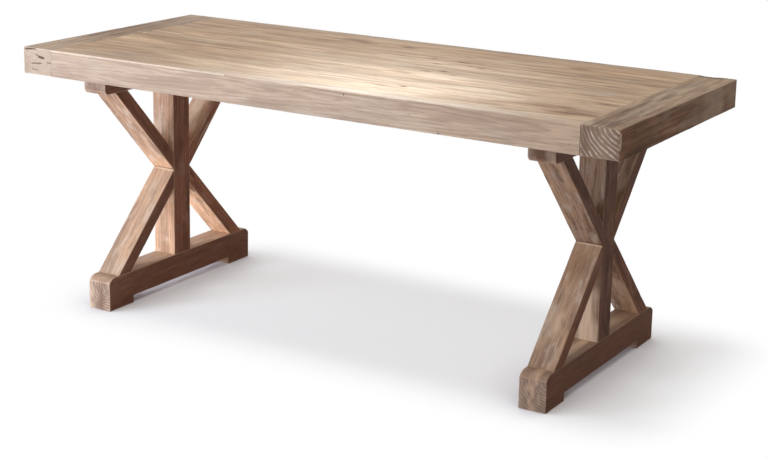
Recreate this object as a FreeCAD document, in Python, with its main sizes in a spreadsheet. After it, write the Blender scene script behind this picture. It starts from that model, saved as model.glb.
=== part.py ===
"""Sawbuck table: a framed plank top with breadboard ends, carried by two X-braced trestles.

Millimetres. The origin is on the floor under the middle of the top. X runs along the table, Y from its front
edge to its rear edge, and Z up.
"""
import FreeCAD, Part
import math
import os
import re

import Sketcher

SIZES = {
    # The whole table
    "table_length": 1828,
    "table_width": 764,
    "table_height": 750,
    # Top: two end boards and two rails make the frame, lengthwise boards fill it
    "edge_height": 76,            # end boards and rails, top to bottom
    "edge_ease": 2,               # bevel along the frame's outer arrises
    "corner_round": 5,            # radius on the frame's upright corners
    "end_board_width": 104,
    "rail_thickness": 42,
    "board_thickness": 42,        # lengthwise boards, top to bottom
    "seam_shift": 18,             # how far the most uneven seam lies from its even place
    "seam_ease": 1.2,             # bevel along both sides of a seam
    "spline_thickness": 8,
    "spline_width": 24,
    "tongue_thickness": 14,       # ends of the boards, in the end boards' groove
    "tongue_length": 20,
    "rail_tenon_thickness": 14,
    "rail_tenon_height": 46,
    "rail_tenon_length": 60,
    "joint_gap": 1,               # room beyond the end of a tenon, tongue or spline
    "scar_length": 68,            # old notch in the right end board's rear arris
    "scar_width": 14,
    "scar_depth": 5,
    # Cross battens under the boards
    "batten_width": 76,
    "batten_height": 32,
    "batten_tenon_width": 44,
    "batten_tenon_height": 14,
    "batten_tenon_length": 14,
    "dovetail_height": 12,        # the battens' ridge, in the boards' housings
    "dovetail_root": 46,          # its width where it leaves the batten
    "dovetail_flare": 6,          # how much wider it is on each side at the top
    # Trestles
    "trestle_inset": 221,         # from the table's end to a trestle's middle
    "timber_width": 76,           # every trestle piece, across the trestle
    "arris": 1.5,                 # bevel on the long arrises
    "post_depth": 76,
    "post_tenon_thickness": 26,
    "post_tenon_width": 52,
    "post_tenon_length": 45,
    "bearer_gap": 2,              # between a bearer's end and a rail
    "bearer_height": 76,
    "bearer_bevel": 9,            # lower end corners
    "foot_inset": 46,             # from the table's edge to a foot's end
    "foot_height": 97,
    "pad_length": 104,
    "relief_height": 22,
    "relief_round": 7,
    "toe_length": 25,             # eased top end corner, along the foot
    "toe_height": 14,
    "toe_round": 16,
    "brace_thickness": 40,
    "brace_inset": 43,            # from a bearer's end to where a brace's outer face lands
    "elbow_height": 360,          # where upper and lower braces meet on the post
    "slip_thickness": 12,
    "slip_width": 44,
    "slip_length": 50,
    "slip_setback": 14,           # from a brace's inner corner to its loose tenon's middle
    # Hardware
    "bolt_diameter": 8,
    "bolt_length": 80,
    "bolt_head_width": 13,        # across flats
    "bolt_head_height": 5.3,
    "bolt_hole": 9,
    "bolt_recess_diameter": 24,
    "bolt_recess_depth": 12,
    "washer_diameter": 20,
    "washer_bore": 8.6,
    "washer_thickness": 1.6,
    "insert_diameter": 12,
    "insert_length": 20,
    "thread_gap": 0.1,            # around a bolt or insert
}

# Heights and widths that follow from the sizes
BOARDS_BOTTOM = "(table_height - board_thickness)"
BOARDS_MIDDLE = "(table_height - board_thickness / 2)"
EDGE_BOTTOM = "(table_height - edge_height)"
BEARER_BOTTOM = f"({BOARDS_BOTTOM} - bearer_height)"
BATTEN_BOTTOM = f"({BOARDS_BOTTOM} - batten_height)"
SHOULDERS = "(table_length - 2 * end_board_width)"
PANEL = "(table_width - 2 * rail_thickness)"
GROOVE_DEPTH = "(spline_width / 2 + joint_gap)"
TRESTLE_X = "(table_length / 2 - trestle_inset)"
BATTEN_X = f"({TRESTLE_X} / 3)"
BEARER_HALF = f"({PANEL} / 2 - bearer_gap)"
FOOT_HALF = "(table_width / 2 - foot_inset)"
BRACE_REACH = f"({BEARER_HALF} - brace_inset)"
RAIL_MIDDLE = "(table_width / 2 - rail_thickness / 2)"
WASHER_SEAT = f"({BEARER_BOTTOM} + bolt_recess_depth)"
HEAD_TOP = f"({WASHER_SEAT} - washer_thickness)"

# Each inner seam's share of seam_shift, from the front: reclaimed boards differ in width
SEAM_SHARES = (0.72, 1.0, 0.76, 0.58, 0.24, 0.28)
BOARD_COUNT = len(SEAM_SHARES) + 1

# The boards that each bearer is bolted to, counted from the front
BOLTED_BOARDS = (1, 2, 4, 5)

SIDES = (("left", -1), ("right", 1))
EDGES = (("front", -1), ("rear", 1))
LEVELS = (("upper", 1), ("lower", -1))

document = FreeCAD.newDocument("sawbuck_table")
sheet = document.addObject("Spreadsheet::Sheet", "sizes")
for row, (alias, size) in enumerate(SIZES.items(), start=1):
    sheet.set(f"A{row}", alias)
    sheet.set(f"B{row}", str(size))
    sheet.setAlias(f"B{row}", alias)
document.recompute()

ALIASES = re.compile(r"\b(" + "|".join(SIZES) + r")\b")
parts = {}


def bound(formula):
    """The formula as an expression on the sheet's cells."""
    return ALIASES.sub(r"sizes.\1", str(formula))


def number(formula):
    """The formula's value in millimetres."""
    return float(sheet.evalExpression(str(formula)))


def bind(thing, **formulas):
    """Tie properties to formulas; a double underscore stands for the dot in a property's name."""
    for name, formula in formulas.items():
        thing.setExpression(name.replace("__", "."), bound(formula))


def place(thing, x=0, y=0, z=0):
    """Tie an object's place to formulas."""
    bind(thing, Placement__Base__x=x, Placement__Base__y=y, Placement__Base__z=z)


def new_body(label, x=0):
    """A body for one piece, moved along the table by x."""
    body = document.addObject("PartDesign::Body", label)
    body.Label = label
    place(body, x=x)
    parts[label] = body
    return body


def new_sketch(body, name, role, offset=0):
    """An empty sketch on one of the body's origin planes, moved along the plane's normal."""
    sketch = body.newObject("Sketcher::SketchObject", name)
    plane = next(item for item in body.Origin.OriginFeatures if item.Role == role)
    sketch.AttachmentSupport = [(plane, "")]
    sketch.MapMode = "FlatFace"
    bind(sketch, AttachmentOffset__Base__z=offset)
    return sketch


def pin_point(sketch, geometry, end, name, formulas):
    """Hold a point of the sketch at two formulas, measured from the sketch's origin."""
    for kind, axis, formula in zip(("DistanceX", "DistanceY"), (-2, -1), formulas):
        if formula == 0:
            sketch.addConstraint(Sketcher.Constraint("PointOnObject", geometry, end, axis))
            continue
        index = sketch.addConstraint(Sketcher.Constraint(kind, -1, 1, geometry, end, number(formula)))
        sketch.renameConstraint(index, name + kind[-1])
        sketch.setExpression(f"Constraints.{name}{kind[-1]}", bound(formula))


def outline(body, name, role, points, offset=0):
    """A closed outline of straight lines through points that are given as formulas."""
    sketch = new_sketch(body, name, role, offset)
    corners = [FreeCAD.Vector(number(u), number(v), 0) for u, v in points]
    count = len(corners)
    for index in range(count):
        sketch.addGeometry(Part.LineSegment(corners[index], corners[(index + 1) % count]), False)
    for index in range(count):
        sketch.addConstraint(Sketcher.Constraint("Coincident", index, 2, (index + 1) % count, 1))
    for index, formulas in enumerate(points):
        pin_point(sketch, index, 1, f"corner{index}_", formulas)
    return sketch


def circles(body, name, role, centres, diameter, offset=0):
    """Equal circles on centres that are given as formulas."""
    sketch = new_sketch(body, name, role, offset)
    for index, (u, v) in enumerate(centres):
        centre = FreeCAD.Vector(number(u), number(v), 0)
        sketch.addGeometry(Part.Circle(centre, FreeCAD.Vector(0, 0, 1), number(diameter) / 2), False)
        pin_point(sketch, index, 3, f"centre{index}_", (u, v))
        size = sketch.addConstraint(Sketcher.Constraint("Diameter", index, number(diameter)))
        sketch.renameConstraint(size, f"diameter{index}")
        sketch.setExpression(f"Constraints.diameter{index}", bound(diameter))
    return sketch


def pad(body, sketch, length, side="Symmetric"):
    """Raise a sketch into a solid."""
    feature = body.newObject("PartDesign::Pad", sketch.Name + "_pad")
    feature.Profile = sketch
    feature.SideType = side
    bind(feature, Length=length)
    document.recompute()
    return feature


def check_cut(body, feature, before):
    """Stop if a cut took nothing away."""
    document.recompute()
    if not body.Shape.Volume < before - 1:
        raise ValueError(f"{feature.Label} cuts nothing from {body.Label}")


def pocket(body, sketch, depth, side="One side"):
    """Sink a sketch into the body: along the sketch's normal, or both ways."""
    before = body.Shape.Volume
    feature = body.newObject("PartDesign::Pocket", sketch.Name + "_pocket")
    feature.Profile = sketch
    feature.SideType = side
    feature.Reversed = side == "One side"
    bind(feature, Length=depth)
    check_cut(body, feature, before)
    return feature


def block(body, kind, name, centre, extent):
    """Add or cut a block whose middle and sides are formulas."""
    before = body.Shape.Volume
    feature = body.newObject(f"PartDesign::{kind}Box", name)
    bind(feature, Length=extent[0], Width=extent[1], Height=extent[2])
    place(feature, *(f"{middle} - ({side}) / 2" for middle, side in zip(centre, extent)))
    if kind == "Subtractive":
        check_cut(body, feature, before)
    document.recompute()
    return feature


def mortise(body, name, centre, extent):
    """Cut a rectangular mortise or groove."""
    return block(body, "Subtractive", name, centre, extent)


def tenon(body, name, centre, extent):
    """Leave a rectangular tenon or tongue."""
    return block(body, "Additive", name, centre, extent)


def soften(body, kind, name, size, wanted):
    """Round or bevel the edges whose two ends and middle pass the test."""
    base = body.Tip
    names = []
    for index, edge in enumerate(base.Shape.Edges, start=1):
        first, last = edge.Vertexes[0].Point, edge.Vertexes[-1].Point
        if wanted(first, last, (first + last) / 2):
            names.append(f"Edge{index}")
    feature = body.newObject(f"PartDesign::{kind}", name)
    feature.Base = (base, names)
    bind(feature, **{"Radius" if kind == "Fillet" else "Size": size})
    document.recompute()
    return feature


def along(first, last, axis):
    """Whether an edge runs along one axis."""
    return all(abs(first[other] - last[other]) < 0.01 for other in range(3) if other != axis)


def near(value, target):
    """Whether two lengths agree."""
    return abs(value - target) < 0.01


def hardware_group(label, pieces):
    """One node that holds several equal fasteners as separate solids."""
    group = document.addObject("Part::Compound", label)
    group.Label = label
    group.Links = pieces
    parts[label] = group
    return group


def seam(index):
    """The place across the table of a board's edge: 0 is the front rail, BOARD_COUNT the rear rail."""
    even = f"(-{PANEL} / 2 + {index} * {PANEL} / {BOARD_COUNT})"
    if index in (0, BOARD_COUNT):
        return even
    return f"({even} + {SEAM_SHARES[index - 1]} * seam_shift)"


def board_middle(index):
    """The place across the table of a board's middle."""
    return f"(({seam(index)} + {seam(index + 1)}) / 2)"


def dovetail(middle):
    """A batten's dovetail ridge, seen from the front, with its root at the boards' underside."""
    top = f"{BOARDS_BOTTOM} + dovetail_height"
    return ((f"{middle} + dovetail_root / 2", BOARDS_BOTTOM),
            (f"{middle} + dovetail_root / 2 + dovetail_flare", top),
            (f"{middle} - dovetail_root / 2 - dovetail_flare", top),
            (f"{middle} - dovetail_root / 2", BOARDS_BOTTOM))


# ---------------------------------------------------------------- top

def end_board(side, sign):
    """A breadboard end: grooved for the boards' tongues and mortised for the rails' tenons."""
    inner = f"{sign} * (table_length / 2 - end_board_width)"
    outer = f"{sign} * table_length / 2"
    body = new_body(f"{side}_end_board")
    section = outline(body, f"{side}_end_section", "XZ_Plane", (
        (inner, EDGE_BOTTOM), (outer, EDGE_BOTTOM), (outer, "table_height"), (inner, "table_height")))
    pad(body, section, "table_width")
    seam_x, face_x = number(inner), number(outer)
    soften(body, "Fillet", f"{side}_end_corners", "corner_round",
           lambda first, last, middle: along(first, last, 2) and near(middle.x, face_x))
    soften(body, "Chamfer", f"{side}_end_arris", "edge_ease",
           lambda first, last, middle: near(first.z, last.z) and not near(middle.x, seam_x))
    groove = "(tongue_length + joint_gap)"
    mortise(body, f"{side}_groove", (f"{inner} + {sign} * {groove} / 2", 0, BOARDS_MIDDLE),
            (groove, PANEL, "tongue_thickness"))
    depth = "(rail_tenon_length + joint_gap)"
    for edge, way in EDGES:
        mortise(body, f"{side}_{edge}_rail_mortise",
                (f"{inner} + {sign} * {depth} / 2", f"{way} * {RAIL_MIDDLE}", f"{EDGE_BOTTOM} + edge_height / 2"),
                (depth, "rail_tenon_thickness", "rail_tenon_height"))
    if side == "right":
        mortise(body, "rear_scar",
                (f"{inner} + scar_length / 2", "table_width / 2 - scar_width / 2", "table_height - scar_depth / 2"),
                ("scar_length", "scar_width", "scar_depth"))
    return body


def rail(edge, way):
    """An edge rail: grooved for the spline, mortised for the battens and tenoned into the end boards."""
    inner = f"{way} * {PANEL} / 2"
    outer = f"{way} * table_width / 2"
    floor = f"{way} * ({PANEL} / 2 + {GROOVE_DEPTH})"
    low = f"{BOARDS_MIDDLE} - spline_thickness / 2"
    high = f"{BOARDS_MIDDLE} + spline_thickness / 2"
    body = new_body(f"{edge}_rail")
    section = outline(body, f"{edge}_rail_section", "YZ_Plane", (
        (inner, EDGE_BOTTOM), (inner, low), (floor, low), (floor, high), (inner, high),
        (inner, "table_height - seam_ease"), (f"{inner} + {way} * seam_ease", "table_height"),
        (outer, "table_height"), (outer, EDGE_BOTTOM)))
    pad(body, section, SHOULDERS)
    for side, sign in SIDES:
        tenon(body, f"{edge}_{side}_rail_tenon",
              (f"{sign} * ({SHOULDERS} + rail_tenon_length) / 2", f"{way} * {RAIL_MIDDLE}",
               f"{EDGE_BOTTOM} + edge_height / 2"),
              ("rail_tenon_length", "rail_tenon_thickness", "rail_tenon_height"))
        depth = "(batten_tenon_length + joint_gap)"
        mortise(body, f"{edge}_{side}_batten_mortise",
                (f"{sign} * {BATTEN_X}", f"{way} * ({PANEL} + {depth}) / 2",
                 f"{BATTEN_BOTTOM} + batten_height / 2"),
                ("batten_tenon_width", depth, "batten_tenon_height"))
    face_y = number(outer)
    soften(body, "Chamfer", f"{edge}_rail_arris", "edge_ease",
           lambda first, last, middle: near(middle.y, face_y) and along(first, last, 0))
    return body


def board(index):
    """A lengthwise board with grooved edges and a tongue at each end."""
    front, rear = seam(index), seam(index + 1)
    low = f"{BOARDS_MIDDLE} - spline_thickness / 2"
    high = f"{BOARDS_MIDDLE} + spline_thickness / 2"
    body = new_body(f"plank_{index + 1}")
    name = f"plank_{index + 1}"
    section = outline(body, f"{name}_section", "YZ_Plane", (
        (front, BOARDS_BOTTOM), (front, low), (f"{front} + {GROOVE_DEPTH}", low),
        (f"{front} + {GROOVE_DEPTH}", high), (front, high), (front, "table_height - seam_ease"),
        (f"{front} + seam_ease", "table_height"), (f"{rear} - seam_ease", "table_height"),
        (rear, "table_height - seam_ease"), (rear, high), (f"{rear} - {GROOVE_DEPTH}", high),
        (f"{rear} - {GROOVE_DEPTH}", low), (rear, low), (rear, BOARDS_BOTTOM)))
    pad(body, section, SHOULDERS)
    for side, sign in SIDES:
        tenon(body, f"{name}_{side}_tongue",
              (f"{sign} * ({SHOULDERS} + tongue_length) / 2", board_middle(index), BOARDS_MIDDLE),
              ("tongue_length", f"{rear} - {front}", "tongue_thickness"))
    for side, sign in SIDES:
        housing = outline(body, f"{name}_{side}_housing", "XZ_Plane", dovetail(f"{sign} * {BATTEN_X}"))
        pocket(body, housing, "table_width", "Symmetric")
    if index in BOLTED_BOARDS:
        inserts = [(f"{sign} * {TRESTLE_X}", board_middle(index)) for side, sign in SIDES]
        holes = circles(body, f"{name}_insert_holes", "XY_Plane", inserts,
                        "insert_diameter + 2 * thread_gap", BOARDS_BOTTOM)
        pocket(body, holes, "insert_length + joint_gap")
    return body


def splines():
    """The loose tongues that line up every long joint."""
    pieces = []
    for index in range(BOARD_COUNT + 1):
        piece = document.addObject("Part::Box", f"spline_{index}")
        bind(piece, Length=SHOULDERS, Width="spline_width", Height="spline_thickness")
        place(piece, f"-{SHOULDERS} / 2", f"{seam(index)} - spline_width / 2",
              f"{BOARDS_MIDDLE} - spline_thickness / 2")
        pieces.append(piece)
    return hardware_group("edge_splines", pieces)


def batten(side, sign):
    """A cross batten that slides into dovetail housings under the boards, stub tenoned into both rails."""
    body = new_body(f"{side}_batten", f"{sign} * {BATTEN_X}")
    half = "batten_width / 2"
    section = outline(body, f"{side}_batten_section", "XZ_Plane", (
        (f"-{half}", BATTEN_BOTTOM), (half, BATTEN_BOTTOM), (half, BOARDS_BOTTOM), *dovetail(0),
        (f"-{half}", BOARDS_BOTTOM)))
    pad(body, section, PANEL)
    for edge, way in EDGES:
        tenon(body, f"{side}_{edge}_stub",
              (0, f"{way} * ({PANEL} + batten_tenon_length) / 2", f"{BATTEN_BOTTOM} + batten_height / 2"),
              ("batten_tenon_width", "batten_tenon_length", "batten_tenon_height"))
    low = number(BATTEN_BOTTOM)
    soften(body, "Chamfer", f"{side}_batten_arris", "arris",
           lambda first, last, middle: near(middle.z, low) and along(first, last, 1))
    return body


# ---------------------------------------------------------------- trestles

def brace_lines(level):
    """Where a brace lands, how far it rises and runs, and how long its two end cuts are."""
    name, up = level
    landing = BEARER_BOTTOM if name == "upper" else "foot_height"
    rise = f"({up} * ({landing} - elbow_height))"
    run = f"({BRACE_REACH} - post_depth / 2)"
    length = f"sqrt({run} * {run} + {rise} * {rise})"
    plumb_cut = f"(brace_thickness * {length} / {run})"
    level_cut = f"(brace_thickness * {length} / {rise})"
    return landing, plumb_cut, level_cut


def slip_joints(edge, level):
    """Middle and sides of a brace's two loose tenons: the one on the post and the one where it lands."""
    way, up = edge[1], level[1]
    landing, plumb_cut, level_cut = brace_lines(level)
    on_post = ((0, f"{way} * post_depth / 2", f"elbow_height + {up} * ({plumb_cut} - slip_setback)"),
               ("slip_width", "slip_length", "slip_thickness"))
    on_landing = ((0, f"{way} * ({BRACE_REACH} - {level_cut} + slip_setback)", landing),
                  ("slip_width", "slip_thickness", "slip_length"))
    return on_post, on_landing


def deepened(extent):
    """A loose tenon's sides with the gap beyond both of its ends."""
    return tuple(f"{side} + 2 * joint_gap" if side == "slip_length" else side for side in extent)


def brace(side, sign, edge, level):
    """A diagonal brace: plumb cut on the post, level cut on the bearer or foot."""
    way, up = edge[1], level[1]
    landing, plumb_cut, level_cut = brace_lines(level)
    name = f"{side}_{edge[0]}_{level[0]}_brace"
    body = new_body(name, f"{sign} * {TRESTLE_X}")
    face = f"{way} * post_depth / 2"
    profile = outline(body, f"{name}_profile", "YZ_Plane", (
        (face, "elbow_height"),
        (f"{way} * {BRACE_REACH}", landing),
        (f"{way} * ({BRACE_REACH} - {level_cut})", landing),
        (face, f"elbow_height + {up} * {plumb_cut}")))
    pad(body, profile, "timber_width")
    width = number("timber_width / 2")
    soften(body, "Chamfer", f"{name}_arris", "arris",
           lambda first, last, middle: near(abs(middle.x), width) and abs(first.y - last.y) > 1
           and abs(first.z - last.z) > 1)
    for index, (centre, extent) in enumerate(slip_joints(edge, level)):
        mortise(body, f"{name}_mortise_{index + 1}", centre, deepened(extent))
    return body


def post(side, sign):
    """The centre post, tenoned into the bearer and the foot and mortised for the braces."""
    body = new_body(f"{side}_post", f"{sign} * {TRESTLE_X}")
    half_width, half_depth = "timber_width / 2", "post_depth / 2"
    section = outline(body, f"{side}_post_section", "XY_Plane", (
        (f"-{half_width}", f"-{half_depth}"), (half_width, f"-{half_depth}"),
        (half_width, half_depth), (f"-{half_width}", half_depth)), "foot_height")
    pad(body, section, f"{BEARER_BOTTOM} - foot_height", "One side")
    soften(body, "Chamfer", f"{side}_post_arris", "arris", lambda first, last, middle: along(first, last, 2))
    for name, shoulder, up in (("top", BEARER_BOTTOM, 1), ("bottom", "foot_height", -1)):
        tenon(body, f"{side}_post_{name}_tenon", (0, 0, f"{shoulder} + {up} * post_tenon_length / 2"),
              ("post_tenon_thickness", "post_tenon_width", "post_tenon_length"))
    for edge in EDGES:
        for level in LEVELS:
            centre, extent = slip_joints(edge, level)[0]
            mortise(body, f"{side}_post_{edge[0]}_{level[0]}_mortise", centre, deepened(extent))
    return body


def beam_mortises(body, side, level, shoulder):
    """The post's mortise and the braces' mortises in a bearer or foot."""
    name, up = level
    depth = "(post_tenon_length + joint_gap)"
    mortise(body, f"{side}_{name}_post_mortise", (0, 0, f"{shoulder} + {up} * {depth} / 2"),
            ("post_tenon_thickness", "post_tenon_width", depth))
    for edge in EDGES:
        centre, extent = slip_joints(edge, level)[1]
        mortise(body, f"{side}_{edge[0]}_{name}_brace_mortise", centre, deepened(extent))


def bearer(side, sign):
    """The top beam, with bevelled lower ends and recessed holes for the bolts."""
    body = new_body(f"{side}_bearer", f"{sign} * {TRESTLE_X}")
    half = BEARER_HALF
    profile = outline(body, f"{side}_bearer_profile", "YZ_Plane", (
        (f"-{half}", f"{BEARER_BOTTOM} + bearer_bevel"), (f"-{half}", BOARDS_BOTTOM), (half, BOARDS_BOTTOM),
        (half, f"{BEARER_BOTTOM} + bearer_bevel"), (f"{half} - bearer_bevel", BEARER_BOTTOM),
        (f"bearer_bevel - {half}", BEARER_BOTTOM)))
    pad(body, profile, "timber_width")
    width = number("timber_width / 2")
    top = number(BOARDS_BOTTOM)
    soften(body, "Chamfer", f"{side}_bearer_arris", "arris",
           lambda first, last, middle: near(abs(middle.x), width) and middle.z < top - 1)
    beam_mortises(body, side, LEVELS[0], BEARER_BOTTOM)
    centres = [(0, board_middle(index)) for index in BOLTED_BOARDS]
    holes = circles(body, f"{side}_bolt_holes", "XY_Plane", centres, "bolt_hole", BEARER_BOTTOM)
    pocket(body, holes, "bearer_height")
    recesses = circles(body, f"{side}_bolt_recesses", "XY_Plane", centres, "bolt_recess_diameter", BEARER_BOTTOM)
    pocket(body, recesses, "bolt_recess_depth")
    return body


def foot(side, sign):
    """The floor beam: two pads with the underside relieved between them, and eased toes."""
    body = new_body(f"{side}_foot", f"{sign} * {TRESTLE_X}")
    half, pad_end = FOOT_HALF, f"({FOOT_HALF} - pad_length)"
    profile = outline(body, f"{side}_foot_profile", "YZ_Plane", (
        (f"-{half}", 0), (f"-{half}", "foot_height - toe_height"), (f"toe_length - {half}", "foot_height"),
        (f"{half} - toe_length", "foot_height"), (half, "foot_height - toe_height"), (half, 0),
        (pad_end, 0), (pad_end, "relief_height"), (f"-{pad_end}", "relief_height"), (f"-{pad_end}", 0)))
    pad(body, profile, "timber_width")
    toe, top = number(f"{FOOT_HALF} - toe_length"), number("foot_height")
    soften(body, "Fillet", f"{side}_toe_round", "toe_round",
           lambda first, last, middle: along(first, last, 0) and middle.z > top / 2
           and abs(middle.y) > toe - 1)
    inner, relief = number(pad_end), number("relief_height")
    soften(body, "Fillet", f"{side}_relief_round", "relief_round",
           lambda first, last, middle: along(first, last, 0) and near(abs(middle.y), inner)
           and near(middle.z, relief))
    width = number("timber_width / 2")
    soften(body, "Chamfer", f"{side}_foot_arris", "arris",
           lambda first, last, middle: near(abs(middle.x), width) and middle.z > 1)
    beam_mortises(body, side, LEVELS[1], "foot_height")
    return body


def slip_tenons(side, sign):
    """The loose tenons of one trestle's braces."""
    pieces = []
    for edge in EDGES:
        for level in LEVELS:
            for index, (centre, extent) in enumerate(slip_joints(edge, level)):
                piece = document.addObject("Part::Box", f"{side}_{edge[0]}_{level[0]}_slip_{index + 1}")
                bind(piece, Length=extent[0], Width=extent[1], Height=extent[2])
                place(piece, f"{sign} * {TRESTLE_X} - {extent[0]} / 2", f"{centre[1]} - {extent[1]} / 2",
                      f"{centre[2]} - {extent[2]} / 2")
                pieces.append(piece)
    return hardware_group(f"{side}_slip_tenons", pieces)


def tube(name, outer, bore, height, x, y, z):
    """A short upright tube."""
    wall = document.addObject("Part::Cylinder", f"{name}_wall")
    bind(wall, Radius=f"({outer}) / 2", Height=height)
    hole = document.addObject("Part::Cylinder", f"{name}_bore")
    bind(hole, Radius=f"({bore}) / 2", Height=height)
    for piece in (wall, hole):
        place(piece, x, y, z)
    ring = document.addObject("Part::Cut", name)
    ring.Base = wall
    ring.Tool = hole
    return ring


def bolt(name, x, y):
    """A hexagon bolt that points up, with its head against the washer."""
    head = document.addObject("Part::Prism", f"{name}_head")
    head.Polygon = 6
    bind(head, Circumradius=f"bolt_head_width / 2 / {math.cos(math.pi / 6)}", Height="bolt_head_height")
    place(head, x, y, f"{HEAD_TOP} - bolt_head_height")
    shank = document.addObject("Part::Cylinder", f"{name}_shank")
    bind(shank, Radius="bolt_diameter / 2", Height="bolt_length")
    place(shank, x, y, HEAD_TOP)
    piece = document.addObject("Part::Fuse", name)
    piece.Base = head
    piece.Tool = shank
    return piece


def bearer_hardware(side, sign):
    """Bolts, washers and threaded inserts that hold one bearer to the boards."""
    x = f"{sign} * {TRESTLE_X}"
    bolts, washers, inserts = [], [], []
    for index in BOLTED_BOARDS:
        y = board_middle(index)
        bolts.append(bolt(f"{side}_bolt_{index}", x, y))
        washers.append(tube(f"{side}_washer_{index}", "washer_diameter", "washer_bore", "washer_thickness",
                            x, y, HEAD_TOP))
        inserts.append(tube(f"{side}_insert_{index}", "insert_diameter", "bolt_diameter + 2 * thread_gap",
                            "insert_length", x, y, BOARDS_BOTTOM))
    hardware_group(f"{side}_bearer_bolts", bolts)
    hardware_group(f"{side}_bolt_washers", washers)
    hardware_group(f"{side}_threaded_inserts", inserts)


def trestle(side, sign):
    """One complete trestle."""
    bearer(side, sign)
    post(side, sign)
    foot(side, sign)
    for edge in EDGES:
        for level in LEVELS:
            brace(side, sign, edge, level)
    slip_tenons(side, sign)
    bearer_hardware(side, sign)


def write_parts():
    """Check every object, then write each piece to its own file."""
    document.recompute()
    for thing in document.Objects:
        if "Invalid" in thing.State or "Error" in thing.State:
            raise ValueError(f"{thing.Label} failed: {thing.State}")
    for label, piece in parts.items():
        if piece.Shape.isNull() or not piece.Shape.isValid() or not piece.Shape.Solids:
            raise ValueError(f"{label} has no valid solid")
    os.makedirs("parts", exist_ok=True)
    for label, piece in parts.items():
        piece.Shape.exportStep(f"parts/{label}.step")
        print(f"{label}: {len(piece.Shape.Solids)} solid(s), {piece.Shape.Volume / 1e3:.1f} cm3")


for side_name, side_sign in SIDES:
    end_board(side_name, side_sign)
for edge_name, edge_way in EDGES:
    rail(edge_name, edge_way)
for board_index in range(BOARD_COUNT):
    board(board_index)
splines()
for side_name, side_sign in SIDES:
    batten(side_name, side_sign)
for side_name, side_sign in SIDES:
    trestle(side_name, side_sign)
write_parts()
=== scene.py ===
"""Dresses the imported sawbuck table: worn timbers, wood finishes, steel hardware, studio and camera.

Lengths are in metres unless a docstring or comment says mm. X runs along the table, Y across it to the back
and Z up. A timber's own axes are u along its grain, v across it and w through it.
"""

import logging
import math
from collections.abc import Sequence
from dataclasses import dataclass
from enum import Enum
from itertools import product

import bmesh
import bpy
import numpy as np
from bpy.types import ID, Material, Mesh, Node, NodeOutputs, NodeSocket, NodeTree, Object, World
from mathutils import Matrix, Vector
from mathutils.kdtree import KDTree


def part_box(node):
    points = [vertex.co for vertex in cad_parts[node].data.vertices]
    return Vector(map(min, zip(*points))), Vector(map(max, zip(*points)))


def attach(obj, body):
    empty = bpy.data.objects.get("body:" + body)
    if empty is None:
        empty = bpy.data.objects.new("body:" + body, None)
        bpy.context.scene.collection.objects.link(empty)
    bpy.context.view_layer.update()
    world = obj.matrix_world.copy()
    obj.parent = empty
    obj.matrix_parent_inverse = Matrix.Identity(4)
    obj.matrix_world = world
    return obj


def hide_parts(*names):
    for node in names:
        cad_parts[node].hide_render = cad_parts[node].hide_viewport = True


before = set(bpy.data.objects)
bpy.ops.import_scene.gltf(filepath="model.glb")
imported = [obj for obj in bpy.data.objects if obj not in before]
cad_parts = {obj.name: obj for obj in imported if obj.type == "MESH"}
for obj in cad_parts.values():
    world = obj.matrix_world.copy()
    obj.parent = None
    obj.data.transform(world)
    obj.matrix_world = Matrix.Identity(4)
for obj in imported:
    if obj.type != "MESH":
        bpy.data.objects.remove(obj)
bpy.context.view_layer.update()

LOG = logging.getLogger("sawbuck_table")
MM = 0.001
BODY = "root"
FRONT_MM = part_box("left_end_board")[0].y / MM
ELBOW = sum(corner.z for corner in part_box("left_front_lower_brace")) / 2

Triple = tuple[float, float, float]
Colour = tuple[float, float, float, float]
Feed = Node | NodeSocket
Places = np.ndarray  # One row of three coordinates for each place.
Values = np.ndarray  # One number for each place.

WHITE = (1.0, 1.0, 1.0, 1.0)


class Slot(Enum):
    """The names of the record's material slots for the worn and remade pieces; nothing in the script uses
    them.
    """

    TOP = "top_wood"
    TRESTLE = "trestle_wood"
    STEEL = "zinc_steel"


class Run(Enum):
    """Which way a timber's grain runs: rows are its own axes, along, across and through the wood."""

    LENGTH = ((1, 0, 0), (0, 1, 0), (0, 0, 1))
    WIDTH = ((0, 1, 0), (-1, 0, 0), (0, 0, 1))
    UPRIGHT = ((0, 0, 1), (1, 0, 0), (0, 1, 0))


class Mapped(Enum):
    """Where a wood finish finds its place in the tree: carried by the mesh, or Object coordinates."""

    CARRIED = "log"
    OBJECT = "Object"


def linear(hexadecimal: str) -> Colour:
    """Turns an sRGB hex colour to linear light.

    Args:
        hexadecimal: Six hex digits, red first.

    Returns:
        Red, green, blue and an alpha of 1.
    """
    shares = [int(hexadecimal[i : i + 2], 16) / 255 for i in (0, 2, 4)]
    light = [s / 12.92 if s <= 0.04045 else ((s + 0.055) / 1.055) ** 2.4 for s in shares]
    return (*light, 1.0)


def add(tree: NodeTree, kind: str, *feeds: object, **named: object) -> Node:
    """Adds a node to a tree.

    Args:
        tree: The tree that gets the node.
        kind: The node's type name.
        feeds: What goes into its live inputs, in order: a plain value, a socket, or a node whose first live
            output is meant.
        named: Its settings, in small letters, and what goes into the inputs of those names, which have a
            capital, and underscores for spaces.

    Returns:
        The new node.
    """
    node = tree.nodes.new(kind)
    for name in filter(str.islower, named):
        setattr(node, name, named[name])
    live = [socket for socket in node.inputs if socket.enabled]
    known = {socket.name.replace(" ", "_"): socket for socket in live}
    for socket, value in [*zip(live, feeds), *((known[n], named[n]) for n in named if not n.islower())]:
        if isinstance(value, Node):
            value = next(output for output in value.outputs if output.enabled)
        if isinstance(value, NodeSocket):
            tree.links.new(value, socket)
        else:
            socket.default_value = value
    return node


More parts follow.
